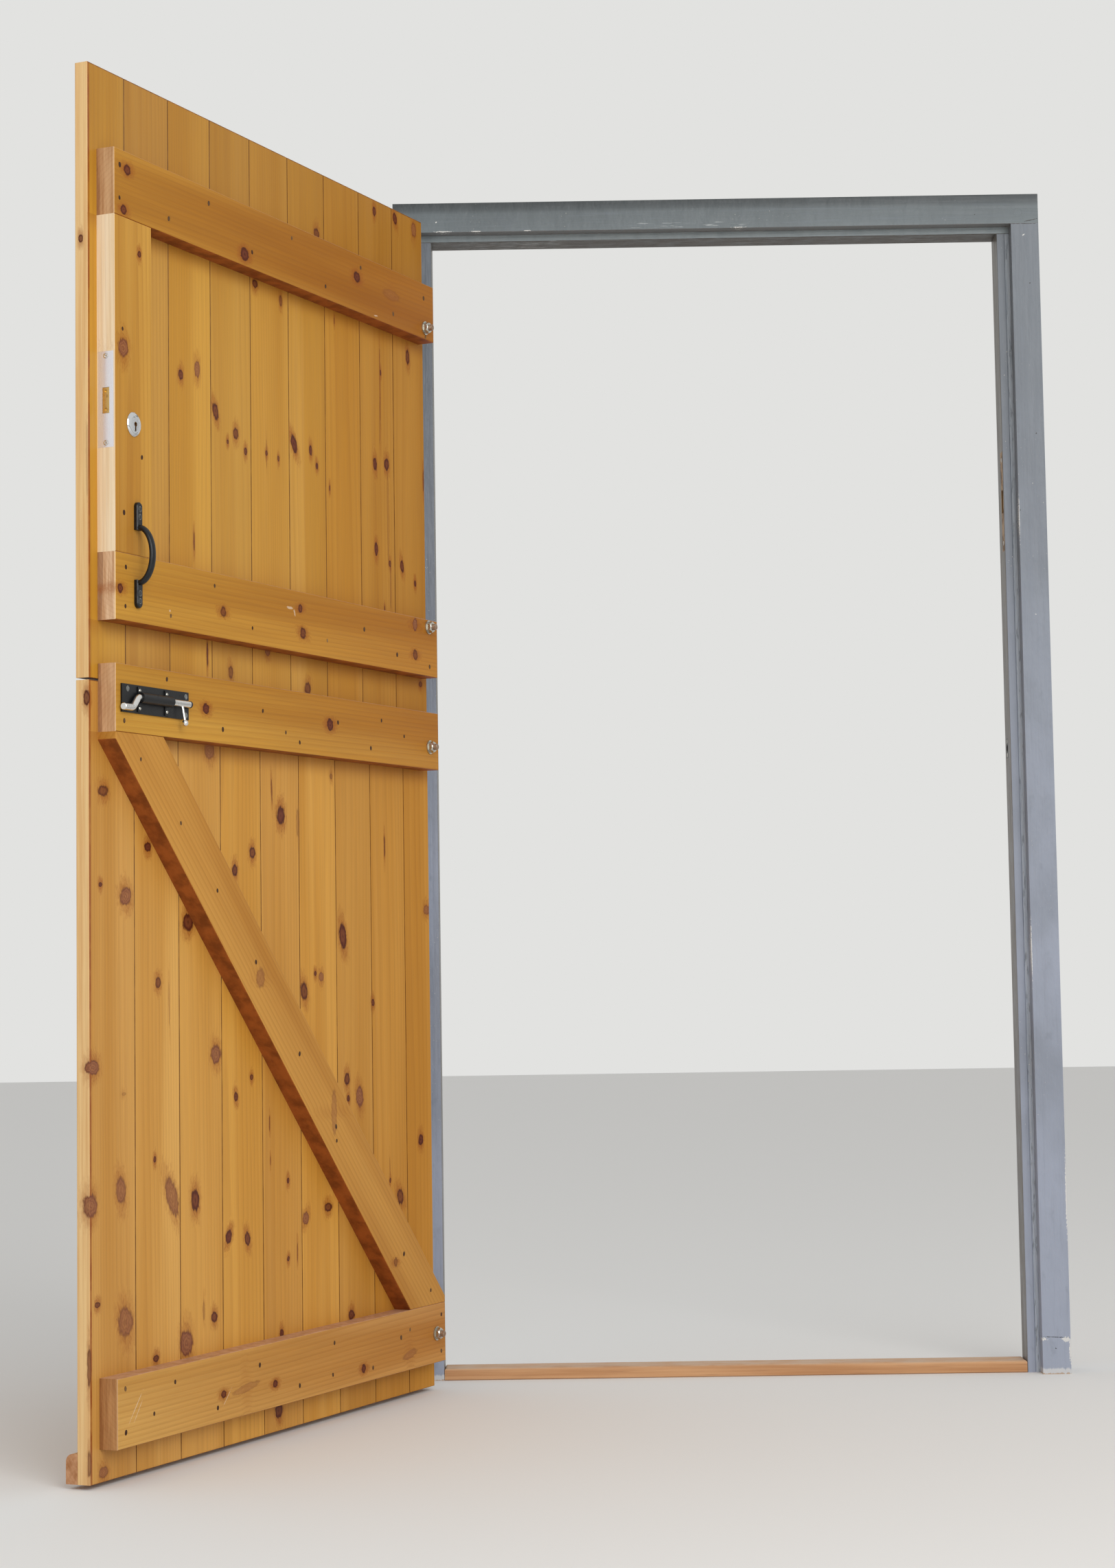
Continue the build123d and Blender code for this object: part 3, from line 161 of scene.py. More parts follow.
# Knots as (X, Z, half width, half height, lean in degrees, strength 0 to 1), and Y with a half depth
# where a knot doesn't go right through
UPPER_BOARD_KNOTS = [
    (-144.6, 1886.4, 9, 9, 0, 0.7), (-343.5, 1968.4, 6, 8, 0, 0.9), (-417.7, 1973.0, 7, 11, 18, 0.9),
    (-487.0, 1969.0, 9, 13, 0, 0.45), (-27.5, 1752.8, 5, 9, 5, 0.6), (52.0, 1764.0, 8, 7, 0, 0.8),
    (-359.6, 1697.2, 2.6, 5, 0, 1.0), (-357.5, 1675.0, 1.1, 75, 0.5, 0.45),
    (-458.9, 1742.0, 7, 13, 4, 0.8), (270.1, 1581.8, 7, 8, 0, 0.9), (223.8, 1598.0, 8, 13, 0, 0.55),
    (172.0, 1543.6, 8, 14, 18, 0.85), (112.6, 1519.0, 8, 9, 0, 0.75), (136.9, 1502.6, 3.5, 3.5, 0, 0.9),
    (84.0, 1495.9, 5, 6, 0, 0.9), (20.1, 1503.0, 3.6, 5, 0, 0.9), (20.1, 1503.0, 1.0, 24, 0, 0.4),
    (-16.6, 1500.0, 3, 4.5, 0, 0.8), (-65.4, 1531.5, 9, 15, 26, 1.0), (-119.4, 1528.8, 5, 8, 5, 0.95),
    (-139.3, 1506.9, 4.2, 5.5, 5, 1.0), (-181.1, 1476.8, 2.1, 5, 0, 0.8),
    (-201.6, 1755.0, 1.4, 6, 0, 0.6), (-336.7, 1539.3, 6.5, 11, 5, 1.0),
    (-378.3, 1545.0, 8.5, 10.5, 0, 0.9), (-382.0, 1455.0, 4.0, 80, 0.5, 0.22),
    (-338.4, 1396.8, 6.5, 11, 2, 1.0), (-386.8, 1378.5, 4, 6, 0, 0.8),
    (-388.0, 1340.0, 3.0, 40, 0, 0.25), (-430.2, 1379.0, 6.5, 11, 12, 0.85),
    (-477.4, 1355.2, 4.2, 5.5, 0, 0.95), (-366.2, 1301.2, 1.6, 4, 0, 0.8),
    (-512.0, 1536.9, 1.5, 20, 0, 0.8), (-355.1, 1610.0, 1.0, 45, -1, 0.4),
    (235.1, 1337.3, 2, 14, 0, 0.7), (198.9, 1172.8, 2.2, 19, 0, 0.9), (131.8, 1151.6, 7, 10, 8, 0.6),
    (21.1, 1193.2, 8, 7, 0, 0.6), (-103.3, 1146.1, 10, 10, -15, 0.7), (-493.1, 1184.7, 6, 5, 0, 0.7),
    (515.4, 1734.0, 4, 6, 0, 0.8, -27.0, 4), (515.4, 1420.0, 3, 60, 0, 0.2, -17.0, 2),
]
LOWER_BOARD_KNOTS = [
    (12.2, 979.3, 1.8, 18, 3, 0.6), (-15.5, 941.3, 13, 14, 0, 1.0), (-68.1, 931.6, 5, 22, 0, 0.3),
    (-177.1, 1010.6, 4.5, 5, 0, 0.5), (-356.7, 905.4, 2, 18, 0, 0.8), (71.5, 881.3, 9, 9, 0, 0.8),
    (479.7, 955.4, 13, 8, 0, 0.7), (422.8, 809.3, 16, 13, 15, 0.6),
    (506.9, 572.0, 17, 10, 0, 0.65, -15.5, 9), (364.8, 880.7, 9, 7, 0, 1.0),
    (339.1, 687.4, 8, 8, 0, 0.7), (309.5, 657.6, 1.4, 32, 1, 0.35), (257.0, 774.1, 15, 13, 0, 0.9),
    (181.0, 580.0, 14, 14, 8, 0.6), (123.7, 853.3, 8, 9, 0, 0.9), (-211.2, 755.8, 12, 21, 12, 0.9),
    (-120.8, 697.0, 4, 4, 0, 1.0), (-139.3, 691.5, 8, 7, 0, 0.5), (-84.4, 669.5, 11, 15, 15, 0.8),
    (-310.9, 648.7, 6, 6, 0, 0.9), (-220.7, 528.3, 9, 10, 0, 0.8), (-224.7, 497.5, 5, 5, 0, 1.0),
    (-262.6, 498.3, 12, 17, 12, 0.6), (-475.2, 417.4, 9, 9, 0, 1.0), (-505.6, 802.1, 12, 8, 0, 0.5),
    (427.0, 217.0, 19, 21, 12, 0.5), (496.6, 247.8, 7, 4, 0, 0.8),
    (511.0, 383.5, 14, 16, 0, 0.6, -15.5, 12), (267.0, 168.8, 17, 20, 5, 0.65),
    (190.0, 197.7, 9, 8, 0, 0.85), (348.2, 157.2, 8, 5, 0, 0.9), (482.8, 19.7, 11, 8, 0, 0.5),
    (-155.4, 330.6, 12, 7, 0, 0.8), (-83.2, 318.8, 10, 10, -30, 0.6), (-28.8, 261.7, 4, 4, 0, 0.9),
    (-228.4, 155.1, 10, 8, 0, 0.9), (-6.7, 152.0, 6, 6, 0, 1.0), (4.0, 37.1, 11, 11, 10, 0.9),
    (515.4, 1084.0, 6, 11, 0, 0.8, -19.0, 5), (515.4, 165.0, 3, 30, 0, 0.6, -17.0, 3),
    (515.4, 35.0, 3, 18, 0, 0.5, -17.0, 3), (437.2, 399.4, 12.8, 19, 7, 0.52),
    (304.0, 380.2, 14.3, 30, 25, 0.5), (240.8, 371.2, 11.7, 15.8, 4, 0.9),
    (147.4, 310.6, 8.4, 10.6, -23, 1.0), (93.6, 302.6, 8.1, 10.7, 16, 0.85),
    (349.8, 436.5, 3.6, 4.5, 0, 0.95), (78.2, 542.6, 4.9, 4.5, 0, 0.8),
    (124.4, 515.4, 5.5, 7.5, 8, 0.9), (25.6, 471.0, 1.7, 12.4, 0, 0.6), (23.8, 414.5, 1.2, 7.2, 0, 0.5),
    (218.8, 211.4, 3.4, 13.8, 0, 0.35), (-29.5, 380.4, 4.2, 4.8, 0, 0.9),
    (-400.0, 328.7, 12, 13.4, 28, 0.75), (-364.9, 357.9, 2.9, 4.5, 0, 0.85),
    (-364.1, 379.2, 1.4, 15.6, 0, 0.4), (-56.9, 271.3, 1.5, 14.7, 0, 0.5),
    (194.8, 1030.6, 15, 13.3, 15, 0.45), (429.0, 532.4, 5.3, 2.3, 0, 0.3),
    (487.0, 824.5, 4.5, 3.5, 0, 1.0),
]
LEDGE_KNOTS = {
    "upper_top": [
        (459.7, 1840.6, 9, 8, 0, 0.9), (469.2, 1780.6, 8, 7, 0, 0.9), (133.3, 1789.1, 12, 10, 0, 1.0),
        (-224.7, 1828.4, 11, 9, 0, 1.0), (-344.9, 1822.7, 30, 9, 0, 0.2),
    ],
    "upper_bottom": [
        (202.4, 1234.0, 8, 8, 0, 0.7), (480.6, 1238.8, 7, 7, 0, 0.9), (-36.9, 1225.5, 9, 9, -10, 0.8),
        (-417.5, 1276.8, 8, 11, 0, 0.65), (-417.2, 1225.6, 8, 9, 0, 0.7), (-28.8, 1263.7, 6.5, 7, 0, 0.85),
    ],
    "lower_top": [(253.0, 1085.8, 9, 8, 0, 1.0), (-121.4, 1088.1, 10, 10, 0, 1.0)],
    "lower_bottom": [
        (214.2, 91.0, 7, 6, 0, 0.9), (65.4, 86.4, 7, 6, 0, 1.0), (-212.2, 74.1, 7, 7, 0, 1.0),
        (-369.8, 77.0, 26, 7, 8, 0.3), (150.5, 91.4, 40, 6, 6, 0.25),
    ],
    "brace": [
        (101.2, 691.6, 12, 16, 0, 0.35), (-123.5, 480.5, 9, 38, 0, 0.3), (-323.9, 229.5, 6, 8, 0, 0.5),
    ],
    "block": [(471.1, 1581.5, 13, 14, 0, 0.6), (428.7, 1725.3, 5, 5, 0, 0.9)],
}

# Pale scratches as (X, Z, half width, half height, lean in degrees)
SCRATCHES = {
    "upper_bottom": [(3.0, 1261.0, 11, 2.2, 0), (-11.0, 1254.5, 2, 7, 20), (350.6, 1220.0, 2, 2, 0)],
    "lower_bottom": [
        (448.5, 103.5, 0.8, 29, -41), (441.0, 99.0, 0.6, 20, -38), (205.0, 84.5, 0.8, 18, -46),
    ],
    "upper_top": [(-288.0, 1777.0, 9, 1.6, 4)],
}
UPPER_NAILS = [
    (478.8, 1843.7), (479.7, 1795.9), (237.5, 1843.7), (349.2, 1795.1), (111.2, 1797.0),
    (-11.4, 1846.0), (-119.1, 1791.3), (-237.8, 1846.6), (-350.6, 1792.2), (-462.6, 1841.2),
    (-468.0, 1775.1), (472.8, 1608.8), (423.6, 1432.3), (470.5, 1346.9), (466.2, 1270.1),
    (467.7, 1214.6), (348.4, 1213.1), (226.7, 1270.2), (117.7, 1218.2), (-114.4, 1221.4),
    (-238.0, 1251.4), (-351.6, 1220.4), (-469.3, 1210.4),
]
LOWER_NAILS = [
    (359.9, 1120.3), (205.8, 1058.6), (471.5, 1053.0), (88.6, 1094.7), (19.2, 1066.5), (-23.9, 1053.9),
    (-147.1, 1093.5), (-256.5, 1059.5), (-373.4, 1086.3), (-294.0, 1107.0), (429.2, 1001.3),
    (323.9, 915.2), (224.0, 820.2), (114.0, 715.2), (-15.6, 574.5), (-129.0, 457.9), (-130.8, 435.8),
    (-352.9, 240.4), (-446.9, 172.5), (474.0, 132.8), (346.0, 125.6), (401.1, 89.1), (472.9, 73.5),
    (230.8, 73.7), (110.9, 119.8), (-484.3, 129.0), (-371.5, 116.8), (-482.7, 69.5), (-117.7, 125.3),
    (-111.8, 77.3), (-8.1, 74.3), (-243.1, 71.6), (-339.9, 107.6),
]


def srgb(red, green, blue):
    """The linear colour of an eight bit screen colour."""
    values = np.array((red, green, blue)) / 255
    linear = np.where(values <= 0.04045, values / 12.92, ((values + 0.055) / 1.055) ** 2.4)
    return (*linear.tolist(), 1.0)


# How strong a growth ring's colour is, from its early to its late wood
RING_STOPS = [(0, 0.1), (0.5, 0.3), (0.86, 1.0), (0.95, 0.85), (1, 0.1)]

# Knot colours from the middle to the rim, and what the cover is multiplied by there: first the large
# faint knots with rings inside, from that half width and under that strength, then the plain ones
SWIRL_STOPS = [
    (0.0, srgb(164, 108, 68)), (0.18, srgb(118, 67, 46)), (0.32, srgb(156, 101, 64)),
    (0.5, srgb(120, 69, 48)), (0.64, srgb(148, 93, 60)), (0.82, srgb(112, 61, 43)),
    (0.97, srgb(98, 49, 34)),
]
SWIRL_GROWTH = (1.4, 1.6)
SWIRL_WIDTH = 8.0
SWIRL_STRENGTH = 0.7
KNOT_STOPS = [
    (0.0, srgb(72, 30, 18)), (0.3, srgb(110, 55, 33)), (0.62, srgb(92, 41, 24)), (0.95, srgb(72, 31, 16)),
]
KNOT_GROWTH = (1.0, 1.3)

# Other colours of the timber, three of them painted shade: of the eaves on the upper boards,
# under the ledges and in the corners of the ledge ends
KNOT_HALO = srgb(152, 82, 28)
EAVES_SHADE = srgb(150, 98, 30)
UNDER_LEDGE_SHADE = srgb(142, 76, 28)
CORNER_SHADE = srgb(118, 68, 36)
RIM = srgb(240, 208, 160)
SCRATCH = srgb(232, 214, 192)
ARRIS_LINE = srgb(142, 72, 30)
JOINT_SHADOW = srgb(84, 44, 16)


# Shader building


class Nodes:
    """A short way to add nodes to a tree and to join them."""

    def __init__(self, tree):
        self.tree = tree
        self.tree.nodes.clear()

    def add(self, kind, values=None, **settings):
        node = self.tree.nodes.new(kind)
        for key, value in settings.items():
            setattr(node, key, value)
        for key, value in (values or {}).items():
            if isinstance(value, bpy.types.NodeSocket):
                self.tree.links.new(value, node.inputs[key])
            else:
                node.inputs[key].default_value = value
        return node

    def math(self, operation, a, b=0.0, clamp=False):
        return self.add("ShaderNodeMath", {0: a, 1: b}, operation=operation, use_clamp=clamp).outputs[0]

    def times(self, a, b, clamp=False):
        return self.math("MULTIPLY", a, b, clamp)

    def plus(self, a, b):
        return self.math("ADD", a, b)

    def joined(self, operation, values):
        """One value from several, by a MINIMUM or MAXIMUM of all."""
        result = values[0]
        for value in values[1:]:
            result = self.math(operation, result, value)
        return result

    def mapped(self, vector, location=(0, 0, 0), rotation=(0, 0, 0), scale=(1, 1, 1), kind="POINT"):
        values = {"Vector": vector, "Location": location, "Rotation": rotation, "Scale": scale}
        return self.add("ShaderNodeMapping", values, vector_type=kind).outputs[0]

    def turned(self, vector, matrix):
        """Coordinates after a rigid move."""
        return self.mapped(vector, matrix.translation, matrix.to_euler())

    def length(self, vector):
        return self.add("ShaderNodeVectorMath", {0: vector}, operation="LENGTH").outputs["Value"]

    def reach(self, vector, centre, turn, size):
        """Distance from the centre of a turned ellipsoid of three half sizes: 1 on its skin."""
        return self.length(self.mapped(vector, centre, turn, size, kind="TEXTURE"))

    def noise(self, vector, scale, detail=2.0, roughness=0.5, stretch=(1, 1, 1), shift=0.0):
        moved = self.mapped(vector, (shift, shift * 0.7, shift * 1.3), scale=stretch)
        values = {"Vector": moved, "Scale": scale, "Detail": detail, "Roughness": roughness}
        return self.add("ShaderNodeTexNoise", values).outputs["Fac"]

    def ramp(self, factor, stops):
        """A colour ramp; each stop is a position and a colour or a grey value."""
        node = self.add("ShaderNodeValToRGB", {"Fac": factor})
        band = node.color_ramp
        while len(band.elements) < len(stops):
            band.elements.new(1.0)
        for element, (position, colour) in zip(band.elements, stops):
            element.position = position
            element.color = (colour, colour, colour, 1) if isinstance(colour, (int, float)) else colour
        return node.outputs["Color"]

    def step(self, value, low, high, out_low=0.0, out_high=1.0, smooth=True):
        """A value run from low to high, carried to another range and held at its ends."""
        kind = "SMOOTHSTEP" if smooth else "LINEAR"
        values = {0: value, 1: low, 2: high, 3: out_low, 4: out_high}
        return self.add("ShaderNodeMapRange", values, interpolation_type=kind).outputs[0]

    def mix(self, factor, a, b, blend="MIX"):
        node = self.add("ShaderNodeMix", {0: factor, 6: a, 7: b}, data_type="RGBA", blend_type=blend)
        return node.outputs[2]

    def lay(self, colour, over, value, low, high, amount):
        """A colour with up to some amount of another over it, as a value runs from low to high."""
        return self.mix(self.step(value, low, high, 0.0, amount), colour, over)

    def grey(self, value):
        return self.add("ShaderNodeCombineColor", {0: value, 1: value, 2: value}).outputs[0]

    def parts(self, vector):
        return self.add("ShaderNodeSeparateXYZ", {0: vector}).outputs

    def bump(self, height, strength, distance):
        values = {"Height": height, "Strength": strength, "Distance": distance}
        return self.add("ShaderNodeBump", values).outputs[0]


class Shader(Nodes):
    """The nodes of one material, on Object coordinates."""

    def __init__(self, name):
        self.material = bpy.data.materials.new(name)
        self.material.use_nodes = True
        super().__init__(self.material.node_tree)
        self.place = self.add("ShaderNodeTexCoord").outputs["Object"]

    def finish(self, **values):
        """Ends the material in one shader; names are the shader's sockets with underscores."""
        named = {key.replace("_", " "): value for key, value in values.items()}
        shader = self.add("ShaderNodeBsdfPrincipled", named)
        self.add("ShaderNodeOutputMaterial", {0: shader.outputs[0]})
        return self.material


def dress(names, material):
    """Give CAD nodes one material."""
    for name in names:
        mesh = frame["nodes"][name].data
        mesh.materials.clear()
        mesh.materials.append(material)


# Timber


def leaning(matrix, lean):
    """The turn of a mark that leans by so many degrees from upright on the closed leaf."""
    across = matrix.to_3x3() @ Vector((1, 0, 0))
    return (0, math.atan2(-across.z, across.x) + math.radians(lean), 0)


def knot_field(shader, grain, matrix, knots, ragged):
    """Distance to the nearest of some knots, 1 at its rim, the knots' cover and their halos' cover.

    A halo is an ellipse drawn out along the grain to some three times the knot's height.
    """
    near, covers, halos = [], [], []
    upright = abs((matrix.to_3x3() @ Vector((1, 0, 0))).x) > 0.9
    for x, z, half_width, half_height, lean, strength, *deep in knots:
        y, half_depth = deep or (BOARD_INSIDE, 250)
        centre = matrix @ Vector((x * MM, y * MM, z * MM))
        wide, high = (half_width * 1.6 + 2) * MM, (half_height * 2.2 + 8) * MM
        wide, high = (wide, high) if upright else (high, wide)
        core = (half_width * MM, half_depth * MM, half_height * MM)
        outer = (wide, half_depth * 2 * MM, high)
        inside, around = (
            shader.plus(shader.reach(grain, centre, leaning(matrix, lean), size), ragged)
            for size in (core, outer)
        )
        halo = 0.25 + 0.75 * strength if strength > 0.4 else 0.6 * strength
        near.append(inside)
        covers.append(shader.step(inside, 0.78, 1.13, strength, 0.0))
        halos.append(shader.step(around, 0.2, 1.05, halo, 0.0))
    return shader.joined("MINIMUM", near), shader.joined("MAXIMUM", covers), shader.joined("MAXIMUM", halos)


def scratch_cover(shader, grain, matrix, marks, ragged):
    """The cover of pale scratches, each a thin ellipse broken up by noise."""
    covers = []
    for x, z, half_width, half_height, lean in marks:
        centre = matrix @ Vector((x * MM, 0, z * MM))
        size = (half_width * MM, 0.06, half_height * MM)
        reach = shader.reach(grain, centre, leaning(matrix, lean), size)
        reach = shader.plus(reach, shader.times(ragged, 2.0))
        covers.append(shader.step(reach, 0.7, 1.05, 0.5, 0.0))
    return shader.joined("MAXIMUM", covers)


def ring_number(shader, grain, axes, look):
    """Distance from a leaning heart line over the ring gap, plus noise drawn out along the grain."""
    lean = shader.times(axes["z"], look["tilt"])
    across = shader.math("SUBTRACT", shader.math("SUBTRACT", axes["x"], look["heart"][0]), lean)
    deep = shader.math("SUBTRACT", axes["y"], look["heart"][1])
    offset = shader.add("ShaderNodeCombineXYZ", {0: across, 1: deep, 2: 0.0}).outputs[0]
    rings = shader.math("DIVIDE", shader.length(offset), look["gap"])
    stretch = (look["wave"], look["wave"], look["wave"] * 0.16)
    wave = shader.noise(grain, 1.0, 2.0, 0.5, stretch, look["seed"])
    return shader.plus(rings, shader.times(wave, look["wobble"]))


def above(axis, level, **finish):
    """A face: all that lies above a level in millimetres on an axis of the material, and its finish."""
    return {"axis": axis, "side": "GREATER_THAN", "level": level, **finish}


def below(axis, level, **finish):
    """A face: all that lies below a level in millimetres on an axis of the material, and its finish."""
    return {"axis": axis, "side": "LESS_THAN", "level": level, **finish}


def sawn(first, second, amount, rings=0.2, grit=70.0, stretch=(1, 1, 1)):
    """The finish of cut timber: two eight bit tones mixed by grit, drawn out by stretch, with rings."""
    return {
        "colour": srgb(*first), "second": srgb(*second), "amount": amount, "rings": rings, "grit": grit,
        "stretch": stretch,
    }


def face_colour(shader, colour, grain, axes, line, look, face):
    """A colour with one face laid over it.

    A face of one colour is patchy, down to its least amount, and one of two is sawn timber. With a corner
    shade depth, it is darker below that depth, painted shade in the corner next to the boards, and its
    front edge is lighter by rim.
    """
    mask = shader.math(face["side"], axes[face["axis"]], face["level"] * MM)
    mask = shader.times(mask, face["amount"])
    if "second" not in face:
        patchy = shader.noise(grain, 30.0, 2.0, 0.6, (1, 1, 1), look["seed"] + 47)
        mask = shader.times(mask, shader.step(patchy, 0.3, 0.6, face["least"], 1.0))
        return shader.mix(mask, colour, face["colour"])
    grit = shader.noise(grain, face["grit"], 4.0, 0.6, face["stretch"], look["seed"] + 41)
    surface = shader.mix(shader.step(grit, 0.35, 0.68), face["colour"], face["second"])
    surface = shader.mix(shader.times(line, face["rings"]), surface, look["late"])
    # Painted shade in the corner where a ledge end meets the boards
    if "dirt" in face:
        edge = shader.plus(axes["y"], shader.step(grit, 0.25, 0.75, -0.006, 0.006))
        dirty = shader.step(edge, (face["dirt"] - 3) * MM, (face["dirt"] + 3) * MM, 0.6, 0.0)
        surface = shader.mix(dirty, surface, CORNER_SHADE)
        start, end = (LEDGE_FACE - 2.7) * MM, (LEDGE_FACE - 1.7) * MM
        surface = shader.lay(surface, RIM, axes["y"], start, end, face["rim"])
    return shader.mix(mask, colour, surface)


def under_ledge_shade(shader, colour, axes, fibre, level):
    """Painted warm shade, ragged along the grain, on the inside face in the 30 mm below a level."""
    under = shader.math("LESS_THAN", axes["z"], level * MM)
    inside = shader.math("GREATER_THAN", axes["y"], (BOARD_INSIDE - 0.5) * MM)
    shade_edge = shader.plus(axes["z"], shader.step(fibre, 0.2, 0.8, -0.006, 0.006))
    fade = shader.step(shade_edge, (level - 30) * MM, (level - 2) * MM, 0.0, 0.32)
    fade = shader.times(shader.times(under, inside), fade)
    return shader.mix(fade, colour, UNDER_LEDGE_SHADE)


def pine(name, matrix, look, knots, faces, marks=(), shade_levels=()):
    """Varnished pine with its own tree: growth rings round a heart line, bands, fibres and knots.

    The ring number grows by a bulge in the halo of each knot. Marks are scratches, and under each of the
    shade levels lies a painted warm shade.
    """
    shader = Shader(name)
    grain = shader.turned(shader.place, matrix @ TO_LEAF)
    axes = dict(zip("xyz", shader.parts(grain)))
    seed = look["seed"]
    rings = ring_number(shader, grain, axes, look)
    rough = shader.noise(grain, 240.0, 2.0, 0.6, (1, 1, 0.4), seed + 5)
    ragged = shader.step(rough, 0.2, 0.8, -0.22, 0.22, smooth=False)
    swirls = [knot for knot in knots if knot[2] >= SWIRL_WIDTH and knot[5] < SWIRL_STRENGTH]
    plain = [knot for knot in knots if knot not in swirls]
    layers, halos = [], []
    for group, stops, growth in ((swirls, SWIRL_STOPS, SWIRL_GROWTH), (plain, KNOT_STOPS, KNOT_GROWTH)):
        if group:
            near, cover, halo = knot_field(shader, grain, matrix, group, ragged)
            cover = shader.times(cover, shader.step(near, 0.5, 0.8, *growth), clamp=True)
            layers.append((cover, shader.ramp(near, stops)))
            halos.append(halo)
    if halos:
        glow = shader.joined("MAXIMUM", halos)
        rings = shader.plus(rings, shader.times(glow, look["bulge"]))
    line = shader.ramp(shader.math("FRACT", rings), RING_STOPS)
    bands = shader.noise(grain, 1.0, 2.0, 0.45, (12, 12, 0.7), seed + 11)
    pale = shader.noise(grain, 1.0, 2.0, 0.5, (17, 17, 0.5), seed + 23)
    fibre = shader.noise(grain, 1.0, 3.0, 0.6, (620, 620, 9), seed + 31)
    colour = shader.mix(shader.step(bands, 0.3, 0.7), look["light"], look["dark"])
    colour = shader.lay(colour, look["pale"], pale, 0.55, 0.72, look["pale_amount"])
    amount = look["ring_amount"]
    if halos:
        amount = shader.step(glow, 0.0, 1.0, amount, amount + 0.55)
    colour = shader.mix(shader.times(line, amount), colour, look["late"])
    # Painted shade of the eaves, darkening the upper boards towards their top
    if "aged_from" in look:
        start, end = look["aged_from"] * MM, (look["aged_from"] + EAVES_SHADE_OVER) * MM
        colour = shader.lay(colour, EAVES_SHADE, axes["z"], start, end, 0.4)
    # Painted shade darkening towards the hinge end, painted light towards the lock end
    if "fade" in look:
        along = shader.step(axes["z"], -LEDGE_REACH * MM, LEDGE_REACH * MM, smooth=False)
        colour = shader.mix(1.0, colour, shader.mix(along, *look["fade"]), "MULTIPLY")
    streak = shader.grey(shader.step(fibre, 0.25, 0.75, 0.93, 1.05))
    colour = shader.mix(1.0, colour, streak, "MULTIPLY")
    for face in faces:
        colour = face_colour(shader, colour, grain, axes, line, look, face)
    # Painted warm shade under the ledges
    for level in shade_levels:
        colour = under_ledge_shade(shader, colour, axes, fibre, level)
    if halos:
        colour = shader.mix(shader.times(glow, 0.7), colour, KNOT_HALO)
    for cover, knot_colour in layers:
        colour = shader.mix(cover, colour, knot_colour)
    if marks:
        colour = shader.mix(scratch_cover(shader, grain, matrix, marks, ragged), colour, SCRATCH)
    height = shader.plus(shader.times(fibre, 0.6), shader.times(line, 0.35))
    normal = shader.bump(height, 0.2, 0.0005)
    gloss = shader.step(fibre, 0.2, 0.8, 0.36, 0.5)
    return shader.finish(
        Base_Color=colour, Roughness=gloss, Normal=normal, Specular_IOR_Level=look["shine"],
    )


def grain_axes(along):
    """The turn that lays the grain, an X and Z direction of the closed leaf, on the shader's Z."""
    dx, dz = along
    return Matrix(((dz, 0, -dx, 0), (0, 1, 0, 0), (dx, 0, dz, 0), (0, 0, 0, 1)))


UPRIGHT = grain_axes((0, 1))
LEVEL = grain_axes((1, 0))
SLOPING = grain_axes((math.cos(BRACE_ANGLE), math.sin(BRACE_ANGLE)))


def board_look(number, order, colours, rng, tone_and_shade=0.0, wash=1.0):
    """Ring, band and colour values of one board, drawn from a seeded generator.

    Its number seeds its noise. The order from the lock edge makes it redder and duller, its tone, partly
    its own and partly painted shade, sets how bright it is, and wash lifts its blue.
    """
    shade = 1 + 0.12 * tone_and_shade + 0.03 * rng.uniform(-1, 1)
    warm = 1 - 0.02 * max(order - 4, 0)

    def tint(colour, blue=wash):
        return (colour[0] * shade, colour[1] * shade * warm, colour[2] * (2 - shade) * blue, 1.0)

    return {
        "seed": 3.7 * number + 1.3,
        "heart": (rng.uniform(-0.2, 0.2), rng.uniform(0.05, 0.11)),
        "tilt": rng.uniform(-0.02, 0.02),
        "gap": rng.uniform(0.0045, 0.007),
        "wave": 5.0,
        "wobble": rng.uniform(2.0, 4.0),
        "bulge": 3.2,
        "light": tint(colours.board_light),
        "dark": tint(colours.board_dark),
        "pale": tint(colours.board_pale, 0.5 * (1 + wash)),
        "late": tuple(colours.ring),
        "pale_amount": rng.uniform(0.2, 0.45),
        "ring_amount": rng.uniform(0.12, 0.22),
        "shine": max(0.22 - 0.02 * order, 0.04),
    }


def edge_faces(left, right, low, high, order):
    """The board's sawn ends, its dark joint lines and, on the lock board, the pale planed edge."""
    end = sawn((150, 96, 50), (96, 52, 28), 0.85)
    joint = {"colour": JOINT_SHADOW, "amount": 0.9, "least": 0.7}
    planed = sawn((242, 205, 146), (228, 182, 122), 0.94, rings=0.12, grit=1.0, stretch=(160, 160, 4))
    faces = [above("z", high - 1.4, **end), below("z", low + SKIN, **end)]
    if order == 1:
        faces.append(above("x", LEAF_EDGE - ARRIS, colour=ARRIS_LINE, amount=0.85, least=0.6))
        faces.append(above("x", LEAF_EDGE - 0.4, **planed))
    else:
        faces.append(above("x", right - JOINT_LINE, **joint))
    if order < LAST_BOARD:
        faces.append(below("x", left + JOINT_LINE, **joint))
    return faces


# Shapes worked out with numpy


def strip_faces(rows, columns):
    """Quads of a grid of rows by columns, whose last column joins its first."""
    row, column = np.meshgrid(np.arange(rows - 1) * columns, np.arange(columns), indexing="ij")
    row, column = row.ravel(), column.ravel()
    following, above_row = (column + 1) % columns, row + columns
    return np.stack((row + column, row + following, above_row + following, above_row + column), axis=1)


def turned_solid(radius, height, sectors):
    """Points of a profile turned about Z: (r cos a, r sin a, h) for each profile point and angle."""
    angle = np.linspace(0, 2 * math.pi, sectors, endpoint=False)
    radius, height = np.asarray(radius, float)[:, None], np.asarray(height, float)[:, None]
    points = np.stack((radius * np.cos(angle), radius * np.sin(angle), height + 0 * angle), axis=-1)
    return points.reshape(-1, 3), strip_faces(points.shape[0], sectors)


